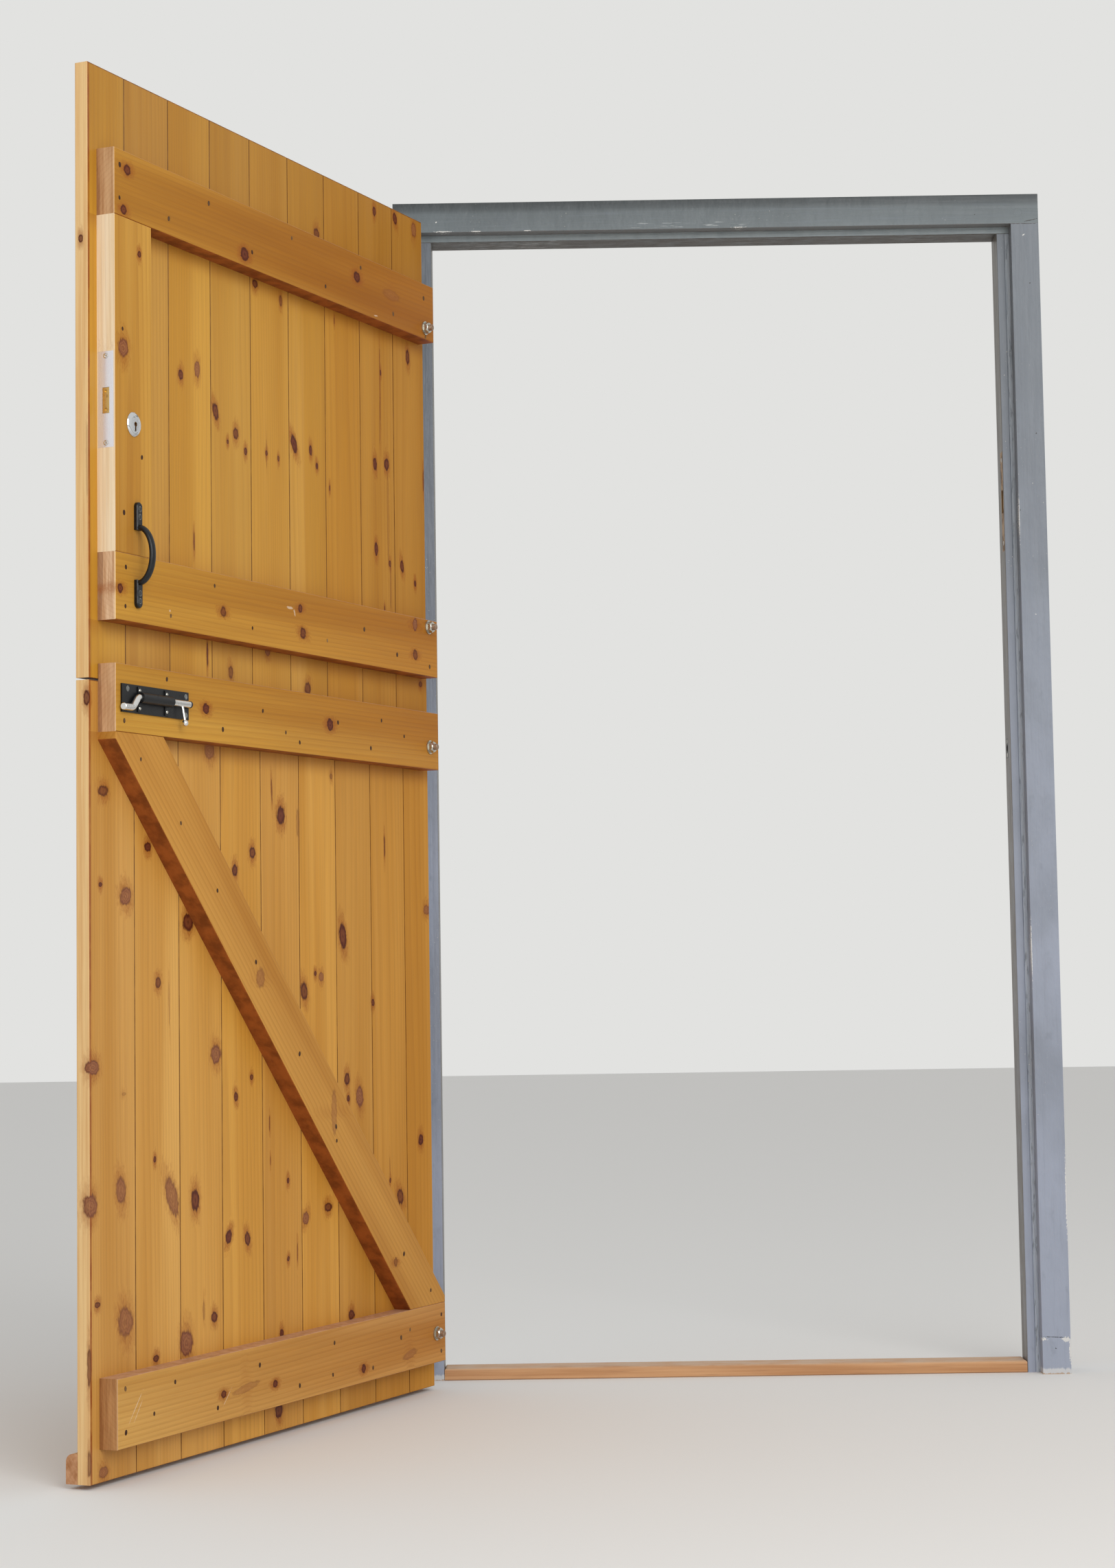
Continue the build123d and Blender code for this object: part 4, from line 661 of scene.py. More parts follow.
def stood(shape, places):
    """Copies of a shape at many places, each a four by four matrix."""
    points, faces = shape
    turns = np.array([np.array(place) for place in places])
    full = np.concatenate((points, np.ones((len(points), 1))), axis=1)
    moved = np.einsum("pij,nj->pni", turns, full)[..., :3]
    shifts = (np.arange(len(places)) * len(points))[:, None, None]
    return moved.reshape(-1, 3), (faces[None] + shifts).reshape(-1, faces.shape[1])


def facing(x, y, z, out, spin=0.0, leaf=True):
    """A place in millimetres on the closed door with Z turned to the outward direction."""
    normal = Vector(out).normalized()
    turn = normal.to_track_quat("Z", "Y").to_matrix().to_4x4() @ Matrix.Rotation(spin, 4, "Z")
    place = Matrix.Translation(Vector((x, y, z)) * MM) @ turn
    return (TO_ROW @ place) if leaf else place


def make_piece(name, shape, material, body):
    """One mesh from points and faces, with doubles merged and faces turned outwards."""
    points, faces = shape
    mesh = bpy.data.meshes.new(name)
    mesh.vertices.add(len(points))
    mesh.vertices.foreach_set("co", points.astype(np.float32).ravel())
    mesh.loops.add(faces.size)
    mesh.loops.foreach_set("vertex_index", faces.astype(np.int32).ravel())
    mesh.polygons.add(len(faces))
    mesh.polygons.foreach_set("loop_start", np.arange(len(faces), dtype=np.int32) * faces.shape[1])
    mesh.update(calc_edges=True)
    shell = bmesh.new()
    shell.from_mesh(mesh)
    bmesh.ops.remove_doubles(shell, verts=shell.verts, dist=1e-6)
    bmesh.ops.recalc_face_normals(shell, faces=shell.faces)
    shell.to_mesh(mesh)
    shell.free()
    mesh.polygons.foreach_set("use_smooth", np.ones(len(mesh.polygons), bool))
    mesh.set_sharp_from_angle(angle=math.radians(40))
    mesh.materials.append(material)
    piece = bpy.data.objects.new(name, mesh)
    bpy.context.scene.collection.objects.link(piece)
    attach(piece, body)
    return piece


def cross_head(radius, dome, recess):
    """A screw head with a cross recess, in millimetres, its seat sunk under the surface.

    Height over the disc is dome * (1 - (r / R) ** 2), less the recess times a smooth fall from the
    middle line of each arm to its sides and from the centre to the arm's end.
    """
    rings, sectors = 22, 48
    lift, seat = 0.2, -0.4
    arm_width, arm_length = 0.17 * radius, 0.62 * radius
    share = np.linspace(0, 1, rings) ** 0.85
    angle = np.linspace(0, 2 * math.pi, sectors, endpoint=False)
    r, a = np.meshgrid(share * radius, angle, indexing="ij")
    x, y = r * np.cos(a), r * np.sin(a)
    narrow = np.minimum(abs(x), abs(y)) / arm_width
    reach = np.maximum(abs(x), abs(y)) / arm_length
    cut = np.clip(1.6 - narrow * 1.2, 0, 1) * np.clip(1.5 - reach * 1.4, 0, 1)
    height = lift + dome * (1 - (r / radius) ** 2) - recess * np.minimum(cut * 1.6, 1)
    top = np.stack((x, y, height), axis=-1)
    rim = top[-1:].copy()
    rim[..., 2] = seat
    foot = rim * np.array((0, 0, 1))
    points = np.concatenate((top, rim, foot)) * MM
    return points.reshape(-1, 3), strip_faces(rings + 2, sectors)


def nail_head(radius, crown):
    """A small oval head: a low dome with a turned down rim, narrower than it is high."""
    share = np.array([0, 0.45, 0.8, 1.0, 1.0, 0])
    height = np.array([0.2, 0.5, 0.75, 0.55, -1.2, -1.2]) * crown
    points, faces = turned_solid(share * radius * MM, height * MM, 16)
    return points * np.array((0.85, 1.1, 1)), faces


def thread_end(radius, length, pitch, depth):
    """The threaded end of a bolt: radius less depth times a triangle wave of turn plus rise over pitch."""
    rows, sectors = 64, 36
    rise = np.linspace(0, length, rows)
    angle = np.linspace(0, 2 * math.pi, sectors, endpoint=False)
    z, a = np.meshgrid(rise, angle, indexing="ij")
    phase = (z / pitch + a / (2 * math.pi)) % 1.0
    wave = abs(phase * 2 - 1)
    taper = np.clip((length - z) / (0.9 * pitch), 0.0, 1.0) ** 0.6
    reach = radius - depth * wave - 0.9 * (1 - taper)
    body = np.stack((reach * np.cos(a), reach * np.sin(a), z), axis=-1)
    cap = body[-1:] * np.array((0, 0, 1)) + np.array((0, 0, 0.05))
    foot = body[:1] * np.array((0, 0, 1))
    points = np.concatenate((foot, body, cap)) * MM
    return points.reshape(-1, 3), strip_faces(rows + 2, sectors)


# Finishes of the frame and the ironmongery

PALE = srgb(222, 220, 214)
DARK = srgb(52, 48, 46)
# Painted shade on the stops' returns, browned by painted light reflected from the room
STOP_RETURN_SHADE = srgb(104, 99, 90)
SHADED = srgb(116, 114, 114)
# Painted shade on the head stop's underside
STOP_UNDERSIDE_SHADE = srgb(62, 54, 46)
SCUFF = srgb(196, 200, 200)
CHIP = srgb(216, 212, 202)

# Small chips and cracks on the frame's front as (X, Z, half width, half height, lean in degrees, colour);
# the long thin pale lines along the jamb's arrises are worn paint with a painted highlight
LOCK_JAMB_MARKS = [
    (540.0, 1970.2, 2.6, 1.1, -35, PALE), (520.4, 1482.9, 1.1, 1.1, 0, DARK),
    (530.0, 1990.4, 13, 0.7, 0, DARK), (552.0, 1990.2, 10, 0.6, 0, DARK), (542.0, 62.0, 25, 0.7, 3, DARK),
    (521.5, 59.0, 5, 2.5, 0, PALE), (559.0, 58.0, 7, 4, 0, PALE), (565.5, 40.0, 2.0, 20, 0, PALE),
    (566.0, 300.0, 1.2, 60, 0, PALE), (518.9, 1470.0, 0.5, 40, 0, PALE), (519.0, 720.0, 0.7, 50, 0, PALE),
    (543.0, 1300.0, 1.6, 0.8, 10, PALE), (549.0, 1884.0, 1.3, 1.3, 0, DARK),
    (552.5, 1618.0, 1.1, 1.1, 0, DARK), (541.0, 43.0, 1.2, 1.2, 0, DARK),
]
HINGE_JAMB_MARKS = [
    (-521.0, 1987.0, 5, 2.0, 0, PALE), (-535.0, 62.0, 26, 0.7, -2, DARK),
    (-548.0, 1990.3, 16, 0.7, 0, DARK),
]
HEAD_MARKS = [
    (-524.0, 1992.8, 5, 1.6, 0, PALE), (-478.0, 1992.0, 14, 0.9, 0, PALE),
    (-420.0, 1991.8, 9, 0.8, 0, PALE), (-490.0, 2009.0, 1.3, 1.3, 0, PALE),
    (40.0, 1991.8, 12, 0.7, 0, PALE), (455.0, 2008.0, 1.1, 1.1, 0, DARK),
    (-330.0, 1992.0, 6, 0.7, 0, PALE), (552.0, 1996.0, 12, 0.8, -12, DARK),
]

# Grey stops of painted shadow, cast by the plaster above, that darken the head between the two levels of
# HEAD_SHADING
HEAD_SHADOW_BANDS = [(0.05, 1.0), (0.35, 0.92), (0.62, 0.86), (0.75, 0.53), (0.85, 0.42), (0.95, 0.34)]

# Rubbed places as (lowest X, highest X, lowest Z, highest Z)
HEAD_SCUFFS = [(-175.0, 70.0, 1993.0, 2003.0)]
HEAD_STOP_SCUFFS = [(-455.0, -255.0, 1975.0, 1980.2)]


def scuffed(shader, colour, axes, scuff):
    """A colour with pale streaks along X in one rubbed place, faded out towards its sides."""
    x_low, x_high, z_low, z_high = (value * MM for value in scuff)
    streaks = shader.step(shader.noise(shader.place, 1.0, 4.0, 0.65, (26, 420, 420), 29), 0.55, 0.63)
    for value, start, end, soft in ((axes["x"], x_low, x_high, 0.03), (axes["z"], z_low, z_high, 0.001)):
        streaks = shader.times(streaks, shader.step(value, start, start + soft))
        streaks = shader.times(streaks, shader.step(value, end - soft, end, 1.0, 0.0))
    return shader.mix(shader.times(streaks, 0.6), colour, SCUFF)


def chipped(shader, colour, jitter, mark):
    """A colour with one ragged ellipse over it, in the plane of the frame's front."""
    x, z, half_width, half_height, lean, mark_colour = mark
    centre = (x * MM, FRAME_FRONT * MM, z * MM)
    size = (half_width * MM, 0.02, half_height * MM)
    reach = shader.reach(shader.place, centre, (0, math.radians(lean), 0), size)
    cover = shader.step(shader.plus(reach, jitter), 0.8, 1.05, 0.85, 0.0)
    return shader.mix(cover, colour, mark_colour)


def paint(name, low, high, along, rough=0.0, faces=(), marks=(), foot=False, bands=(), scuffs=()):
    """Brushed satin paint on old timber, from its low colour near the floor to its high one above.

    It is brushed along an axis, and grooved when rough. A high colour darker than the low one is painted
    shade of the eaves. Bands are grey stops of painted shadow from the plaster, up the height of the head.
    Over them lie the faces, the scuffs, the marks and, at a worn foot, the primer and the timber.
    """
    shader = Shader(name)
    place = shader.place
    axes = dict(zip("xyz", shader.parts(place)))
    drawn = {"x": (7, 150, 150), "z": (150, 150, 7)}[along]
    brush = shader.noise(place, 1.0, 4.0, 0.6, drawn)
    lumps = shader.noise(place, 34.0, 3.0, 0.55, (1, 1, 0.6), 3)
    cloud = shader.noise(place, 5.0, 3.0, 0.6, (1, 1, 0.6), 9)
    specks = shader.noise(place, 380.0, 2.0, 0.5, (1, 1, 1), 17)
    colour = shader.mix(shader.step(axes["z"], 0.5, 1.95), low, high)
    dull = tuple(channel * 0.8 for channel in high[:3]) + (1.0,)
    colour = shader.lay(colour, dull, cloud, 0.42, 0.7, 0.42)
    colour = shader.lay(colour, srgb(166, 173, 186), brush, 0.52, 0.72, 0.1)
    colour = shader.lay(colour, srgb(98, 104, 114), brush, 0.46, 0.3, 0.1)
    colour = shader.lay(colour, srgb(104, 111, 119), lumps, 0.58, 0.74, 0.25)
    if rough > 0.5:
        groove = shader.noise(place, 1.0, 4.0, 0.65, (260, 260, 34), 23)
        colour = shader.lay(colour, srgb(74, 80, 86), groove, 0.56, 0.68, 0.5)
    chips = shader.times(shader.step(specks, 0.72, 0.74), shader.step(cloud, 0.52, 0.6))
    colour = shader.mix(chips, colour, CHIP)
    # Painted shadow of the plaster, darkening the head up its height
    if bands:
        height = shader.step(axes["z"], *(level * MM for level in HEAD_SHADING), smooth=False)
        colour = shader.mix(1.0, colour, shader.ramp(height, bands), "MULTIPLY")
    for face in faces:
        mask = shader.math(face["side"], axes[face["axis"]], face["level"] * MM)
        patchy = shader.step(lumps, 0.3, 0.6, face["amount"] * 0.7, face["amount"])
        colour = shader.mix(shader.times(mask, patchy), colour, face["colour"])
    for scuff in scuffs:
        colour = scuffed(shader, colour, axes, scuff)
    jitter = shader.step(specks, 0.2, 0.8, -0.9, 0.9, smooth=False)
    for mark in marks:
        colour = chipped(shader, colour, jitter, mark)
    if foot:
        ragged = shader.math("SUBTRACT", axes["z"], shader.times(brush, 0.014))
        colour = shader.mix(shader.step(ragged, 0.0, 0.004, 0.85, 0.0), colour, srgb(206, 206, 206))
        colour = shader.mix(shader.step(ragged, -0.0065, -0.005, 0.85, 0.0), colour, srgb(176, 146, 116))
    brushed = shader.times(brush, 0.3 + rough)
    relief = shader.plus(brushed, shader.times(lumps, 0.7))
    normal = shader.bump(relief, 0.7, 0.004 + 0.004 * rough)
    gloss = shader.step(brush, 0.2, 0.8, 0.34, 0.52)
    return shader.finish(Base_Color=colour, Roughness=gloss, Normal=normal, Specular_IOR_Level=0.35)


def bare_timber(name):
    """Worn timber along X, orange brown with dark pores, a dusty top and a dirty foot."""
    shader = Shader(name)
    broad = shader.noise(shader.place, 1.0, 3.0, 0.55, (2.5, 90, 90))
    fine = shader.noise(shader.place, 1.0, 3.0, 0.6, (12, 600, 600), 4)
    worn = shader.noise(shader.place, 40.0, 3.0, 0.6, (0.5, 1, 1), 8)
    height = shader.parts(shader.place)[2]
    colour = shader.mix(shader.step(broad, 0.3, 0.7), srgb(212, 164, 118), srgb(184, 132, 86))
    colour = shader.lay(colour, srgb(130, 88, 56), fine, 0.55, 0.78, 0.45)
    top = shader.step(height, 0.017, 0.0198)
    dust = shader.times(top, shader.step(worn, 0.3, 0.65, 0.2, 0.75))
    colour = shader.mix(dust, colour, srgb(204, 178, 152))
    colour = shader.mix(shader.step(height, 0.0005, 0.002, 0.7, 0.0), colour, srgb(70, 48, 34))
    return shader.finish(Base_Color=colour, Roughness=0.62, Normal=shader.bump(fine, 0.4, 0.0006))


def metal(
    name, base, roughness, second=None, amount=0.0, scale=90.0, metallic=1.0, bump=0.15, sheen=0.5,
    drawn=(1, 1, 1),
):
    """Metal with an uneven skin and, where it has a second tone, that tone in blotches such as rust.

    Both tones are eight bit screen colours, and the amount spreads the blotches. The skin's noise may be
    drawn out along an axis, as on a polished strip.
    """
    shader = Shader(name)
    blotch = shader.noise(shader.place, scale, 4.0, 0.65)
    fine = shader.noise(shader.place, scale * 9, 2.0, 0.5, drawn, 7)
    gloss = shader.step(fine, 0.3, 0.7, roughness * 0.85, roughness * 1.15)
    values = {"Base_Color": srgb(*base), "Metallic": metallic, "Specular_IOR_Level": sheen}
    if second:
        mask = shader.step(blotch, 0.62 - 0.3 * amount, 0.72)
        gloss = shader.plus(gloss, shader.times(mask, 0.3))
        values["Base_Color"] = shader.mix(mask, srgb(*base), srgb(*second))
        if metallic:
            values["Metallic"] = shader.step(mask, 0.0, 1.0, metallic, metallic * 0.25)
    height = shader.plus(blotch, shader.times(fine, 0.3))
    normal = shader.bump(height, bump, 0.0005)
    return shader.finish(Roughness=gloss, Normal=normal, **values)


# Settings


def colour_setting(label, description, default):
    return FloatVectorProperty(
        name=label, description=description, subtype="COLOR", size=4, default=default, min=0, max=1,
    )


def length_setting(label, description, default, least):
    return FloatProperty(name=label, description=description, unit="LENGTH", default=default, min=least)


class DoorColours(bpy.types.PropertyGroup):
    """Colours of the door that a user would change."""

    board_light: colour_setting("Board, light", "Lighter tone of the varnished boards", srgb(203, 151, 61))
    board_dark: colour_setting("Board, dark", "Darker tone of the varnished boards", srgb(188, 134, 46))
    board_pale: colour_setting("Board, sapwood", "Pale sapwood streaks in the boards", srgb(220, 172, 88))
    ring: colour_setting("Ring", "Late wood lines", srgb(146, 86, 26))
    ledge_light: colour_setting(
        "Ledge, light", "Lighter tone of ledges, brace and lock block", srgb(196, 140, 58),
    )
    ledge_dark: colour_setting(
        "Ledge, dark", "Darker tone of ledges, brace and lock block", srgb(170, 112, 38),
    )
    paint: colour_setting("Frame paint, low", "Frame paint near the floor", srgb(155, 162, 178))
    # Darker than the low paint: painted shade of the eaves over the upper frame
    paint_shaded: colour_setting("Frame paint, high", "Frame paint near the head", srgb(115, 121, 128))
    head_paint: colour_setting("Head paint", "Paint of the head and its stop", srgb(109, 117, 120))


class DoorSizes(bpy.types.PropertyGroup):
    """Sizes of the small pieces, in metres."""

    nail_radius: length_setting("Nail head", "Radius of the oval nail heads", 0.0031, 0.001)
    screw_radius: length_setting("Screw head", "Radius of the small screw heads", 0.0038, 0.001)
    hinge_screw_radius: length_setting(
        "Hinge screw head", "Radius of the hinge screw heads", 0.0048, 0.001,
    )
    thread_pitch: length_setting("Thread pitch", "Pitch of the coach bolts' thread", 0.0015, 0.0005)


class StageSettings(bpy.types.PropertyGroup):
    """Floor, light and camera."""

    floor: colour_setting("Floor", "Colour of the floor", srgb(240, 239, 236))
    sky: FloatProperty(name="Sky", description="Strength of the light from all round", default=0.58, min=0)
    lamp: FloatProperty(
        name="Main lamp", description="Power of the large lamp above the camera", unit="POWER",
        default=166.0, min=0,
    )


# Operators


class DOOR_OT_boards(bpy.types.Operator):
    """Give the boards and the weatherboard their timber"""

    bl_idname = "door.boards"
    bl_label = "Boards and weatherboard"

    def execute(self, context):
        colours = context.scene.door_colours
        rng = np.random.default_rng(BOARD_SEED)
        leaves = (("upper", UPPER_BOARD_KNOTS, 0), ("lower", LOWER_BOARD_KNOTS, 20))
        for leaf, knots, first_number in leaves:
            low, high = LEAF_LEVELS[leaf]
            # Painted warm shade hangs under each ledge that has 60 mm of board below it
            shade_levels = [level for level in LEDGES.values() if low + 60 < level < high]
            right = LEAF_EDGE
            for order in range(1, LAST_BOARD + 1):
                left = right - (LOCK_BOARDS[leaf] if order == 1 else BOARD_COVER)
                left = -LEAF_EDGE if order == LAST_BOARD else left
                mine = [knot for knot in knots if left - knot[2] < knot[0] < right + knot[2]]
                tone_and_shade, wash = BOARD_TONES_AND_SHADE[leaf][order - 1], BOARD_BLUES[leaf][order - 1]
                look = board_look(first_number + order, order, colours, rng, tone_and_shade, wash)
                look["heart"] = ((left + right) / 2 * MM + look["heart"][0] * 0.4, look["heart"][1])
                # The upper boards get painted shade of the eaves towards their top
                if leaf == "upper":
                    look["aged_from"] = EAVES_SHADE_FROM
                name = f"{leaf}_board_{order}"
                faces = edge_faces(left, right, low, high, order)
                dress([name], pine(name, UPRIGHT, look, mine, faces, shade_levels=shade_levels))
                right = left
        # The weatherboard is as red and dull as a tenth board would be
        look = board_look(50, 10, colours, rng)
        ends = sawn((206, 158, 122), (168, 118, 84), 0.9)
        faces = [above("z", LEAF_EDGE - 0.5, **ends), below("z", 0.5 - LEAF_EDGE, **ends)]
        dress(["weatherboard"], pine("weatherboard", LEVEL, look, [], faces))
        return {"FINISHED"}


class DOOR_OT_ledges(bpy.types.Operator):
    """Give the ledges, the brace and the lock block their timber"""

    bl_idname = "door.ledges"
    bl_label = "Ledges, brace and lock block"

    under = sawn((158, 84, 40), (112, 52, 26), 0.9, rings=0.1, grit=34.0)
    dusty = sawn((206, 162, 134), (182, 134, 100), 0.8, rings=0.05)
    cream = sawn((250, 232, 200), (240, 214, 174), 0.97, rings=0.16, grit=1.0, stretch=(170, 170, 4))
    end_colours = {
        "upper_top": ((208, 168, 126), (180, 136, 96)), "upper_bottom": ((232, 198, 162), (198, 156, 118)),
        "lower_top": ((216, 174, 134), (192, 148, 108)), "lower_bottom": ((190, 140, 92), (160, 112, 72)),
    }

    def execute(self, context):
        colours = context.scene.door_colours
        for order, (name, low) in enumerate(LEDGES.items()):
            high = low + LEDGE_WIDTH
            # The heart line runs under one ledge and over the next
            heart = (-(low + (130 if order % 2 else -40)) * MM, 0.075)
            look = self.look(colours, order, heart, 0.012, LEDGE_TINTS_AND_SHADE[name])
            # Painted shade towards the hinge end and painted light towards the lock end
            look["fade"] = LEDGE_SHADE_FALLOFF
            ends = sawn(*self.end_colours[name], 0.95, rings=0.12, grit=1.0, stretch=(14, 190, 190))
            # Painted shade in the corner where each end meets the boards
            is_upper_bottom = name == "upper_bottom"
            ends.update(dirt=-6.5 if is_upper_bottom else -11.0, rim=0.75 if is_upper_bottom else 0.25)
            faces = [
                above("x", -(low + SKIN), **self.under), below("x", -(high - SKIN), **self.dusty),
                above("z", LEDGE_LOCK_END - SKIN, **ends), below("z", LEDGE_HINGE_END + SKIN, **ends),
            ]
            marks = SCRATCHES.get(name, ())
            dress([f"{name}_ledge"], pine(f"{name}_ledge", LEVEL, look, LEDGE_KNOTS[name], faces, marks))
        # The brace's under edge ends 11 mm below the top ledge
        side = (SLOPING @ Vector((LEDGE_LOCK_END, 0, LEDGES["lower_top"] - 11.0))).x
        look = self.look(colours, 6, (side * MM + 0.07, 0.08), 0.01, LEDGE_TINTS_AND_SHADE["brace"])
        look.update(ring_amount=0.26, gap=0.0075)
        faces = [above("x", side - SKIN, **self.under)]
        dress(["brace"], pine("brace", SLOPING, look, LEDGE_KNOTS["brace"], faces))
        look = self.look(colours, 8, (0.44, 0.07), 0.01, LEDGE_TINTS_AND_SHADE["lock_block"])
        faces = [
            above("x", LEDGE_LOCK_END - SKIN, **self.cream),
            below("x", LEDGE_LOCK_END - LEDGE_WIDTH + SKIN, **self.under),
        ]
        dress(["lock_block"], pine("lock_block", UPRIGHT, look, LEDGE_KNOTS["block"], faces))
        return {"FINISHED"}

    @staticmethod
    def look(colours, order, heart, tilt, tint):
        """Ring, band and colour values of one member; tint multiplies the ledge colours."""
        light, dark, pale = (
            (*(min(channel * part, 1.0) for channel, part in zip(colour[:3], tint)), 1.0)
            for colour in (colours.ledge_light, colours.ledge_dark, colours.board_pale)
        )
        return {
            "seed": 60.0 + 4.1 * order, "heart": heart, "tilt": tilt, "gap": 0.0062, "wave": 4.0,
            "wobble": 3.2, "bulge": 3.4, "light": light, "dark": dark, "pale": pale, "shine": 0.08,
            "late": tuple(colours.ring), "pale_amount": 0.25, "ring_amount": 0.24,
        }


class DOOR_OT_frame(bpy.types.Operator):
    """Paint the frame and give the threshold bar its bare timber"""

    bl_idname = "door.frame"
    bl_label = "Frame"

    def execute(self, context):
        colours = context.scene.door_colours
        # The high colour near the head is painted shade of the eaves
        low, high = tuple(colours.paint), tuple(colours.paint_shaded)
        head = tuple(colours.head_paint)
        for name, marks in (("lock_jamb", LOCK_JAMB_MARKS), ("hinge_jamb", HINGE_JAMB_MARKS)):
            dress([name], paint(f"{name}_paint", low, high, "z", marks=marks, foot=True))
        # The head's underside is painted shade, and its upper part a painted shadow of the plaster
        underside = [below("z", HEAD_FOOT + 0.4, colour=SHADED, amount=0.8)]
        dress(["head", "frame_pegs"], paint(
            "head_paint", head, head, "x", 0.0, underside, HEAD_MARKS, bands=HEAD_SHADOW_BANDS, scuffs=HEAD_SCUFFS,
        ))
        stop_faces = [
            # Painted light: the stop's front is lightened
            below("y", HEAD_STOP_FRONT + 1.0, colour=srgb(136, 145, 148), amount=0.95),
            # Painted shade on the stop's underside
            below("z", HEAD_STOP_FOOT + 1.0, colour=STOP_UNDERSIDE_SHADE, amount=0.95),
        ]
        stop_paint = paint("head_stop_paint", head, head, "x", 0.2, stop_faces, scuffs=HEAD_STOP_SCUFFS)
        dress(["head_stop"], stop_paint)
        # Painted shade on the returns of the stops, warmed by painted light reflected from the room
        inward = [below("x", LOCK_STOP_FACE + 0.5, colour=STOP_RETURN_SHADE, amount=0.85)]
        dress(["lock_stop", "lock_stop_at_keeps"], paint("lock_stop_paint", low, high, "z", 0.0, inward))
        outward = [above("x", HINGE_STOP_FACE - 0.5, colour=STOP_RETURN_SHADE, amount=0.85)]
        dress(["hinge_stop"], paint("hinge_stop_paint", low, high, "z", 0.0, outward, foot=True))
        # The lath is painted lighter, painted light in its shaded recess, and darker towards the head with
        # painted shade of the eaves
        lath_low, lath_high = srgb(184, 192, 204), srgb(158, 165, 172)
        dress(["lock_packing_lath"], paint("lath_paint", lath_low, lath_high, "z", rough=0.7))
        dress(["threshold_bar"], bare_timber("bare_timber"))
        return {"FINISHED"}


class DOOR_OT_metals(bpy.types.Operator):
    """Give the ironmongery its metals"""

    bl_idname = "door.metals"
    bl_label = "Ironmongery finishes"

    def execute(self, context):
        nodes = ["frame_fixings"]
        for leaf in HINGES:
            nodes += [f"{leaf}_fixings", f"{leaf}_hinge_nuts", f"{leaf}_coach_bolts"]
        dress(nodes, metal("zinc_steel", (196, 194, 184), 0.32, (134, 78, 44), 0.25, 160.0))
        ends = [f"{leaf}_{end}" for leaf in HINGES for end in ("top", "bottom")]
        nodes = [f"{end}_{part}" for end in ends for part in ("hook", "band")]
        dress(nodes, metal("hinge_steel", (150, 152, 154), 0.5, (110, 104, 98), 0.3, 40.0))
        dress(["lock_forend"], metal(
            "polished_steel", (236, 236, 242), 0.26, metallic=0.55, scale=30.0, bump=0.004,
            drawn=(1, 1, 0.05),
        ))
        chrome = metal("chrome", (216, 218, 220), 0.12, (184, 186, 190), 0.3, 70.0, bump=0.02)
        dress(["escutcheons"], chrome)
        dress(["deadbolt"], metal("brass", (222, 190, 120), 0.3, (150, 112, 62), 0.15, 90.0))
        dress(["lock_keep"], metal("aged_brass", (150, 116, 74), 0.45, (74, 48, 32), 0.7, 60.0))
        dress(["bolt_plate", "bolt_barrel", "lock_case", "bolt_keep"], metal(
            "black_metal", (15, 16, 18), 0.4, (36, 36, 36), 0.3, 120.0, metallic=0.0, bump=0.1,
            sheen=0.32,
        ))
        dress(["pull_handle"], metal(
            "black_iron", (16, 18, 21), 0.36, (30, 33, 38), 0.4, 150.0, metallic=0.0, bump=0.2,
            sheen=0.36,
        ))
        bright = metal("bright_steel", (228, 227, 224), 0.2, (196, 190, 182), 0.15, 60.0, bump=0.04)
        dress(["bolt_rod"], bright)
        return {"FINISHED"}


class DOOR_OT_nails(bpy.types.Operator):
    """Set the nail heads into the ledges, the brace and the lock block"""

    bl_idname = "door.nails"
    bl_label = "Nail heads"

    def execute(self, context):
        head = nail_head(context.scene.door_sizes.nail_radius / MM, 0.35)
        material = metal(
            "nail_steel", (62, 36, 22), 0.6, (150, 116, 76), 0.55, 11.0, metallic=0.0, sheen=0.2,
        )
        rng = np.random.default_rng(NAIL_SEED)
        for leaf, nails in (("upper", UPPER_NAILS), ("lower", LOWER_NAILS)):
            places = []
            for x, z in nails:
                place = facing(x, LEDGE_FACE, z, (0, 1, 0), rng.uniform(-0.3, 0.3))
                places.append(place @ Matrix.Scale(rng.uniform(0.85, 1.2), 4))
            make_piece(f"{leaf}_nail_heads", stood(head, places), material, f"{leaf}_leaf")
        return {"FINISHED"}


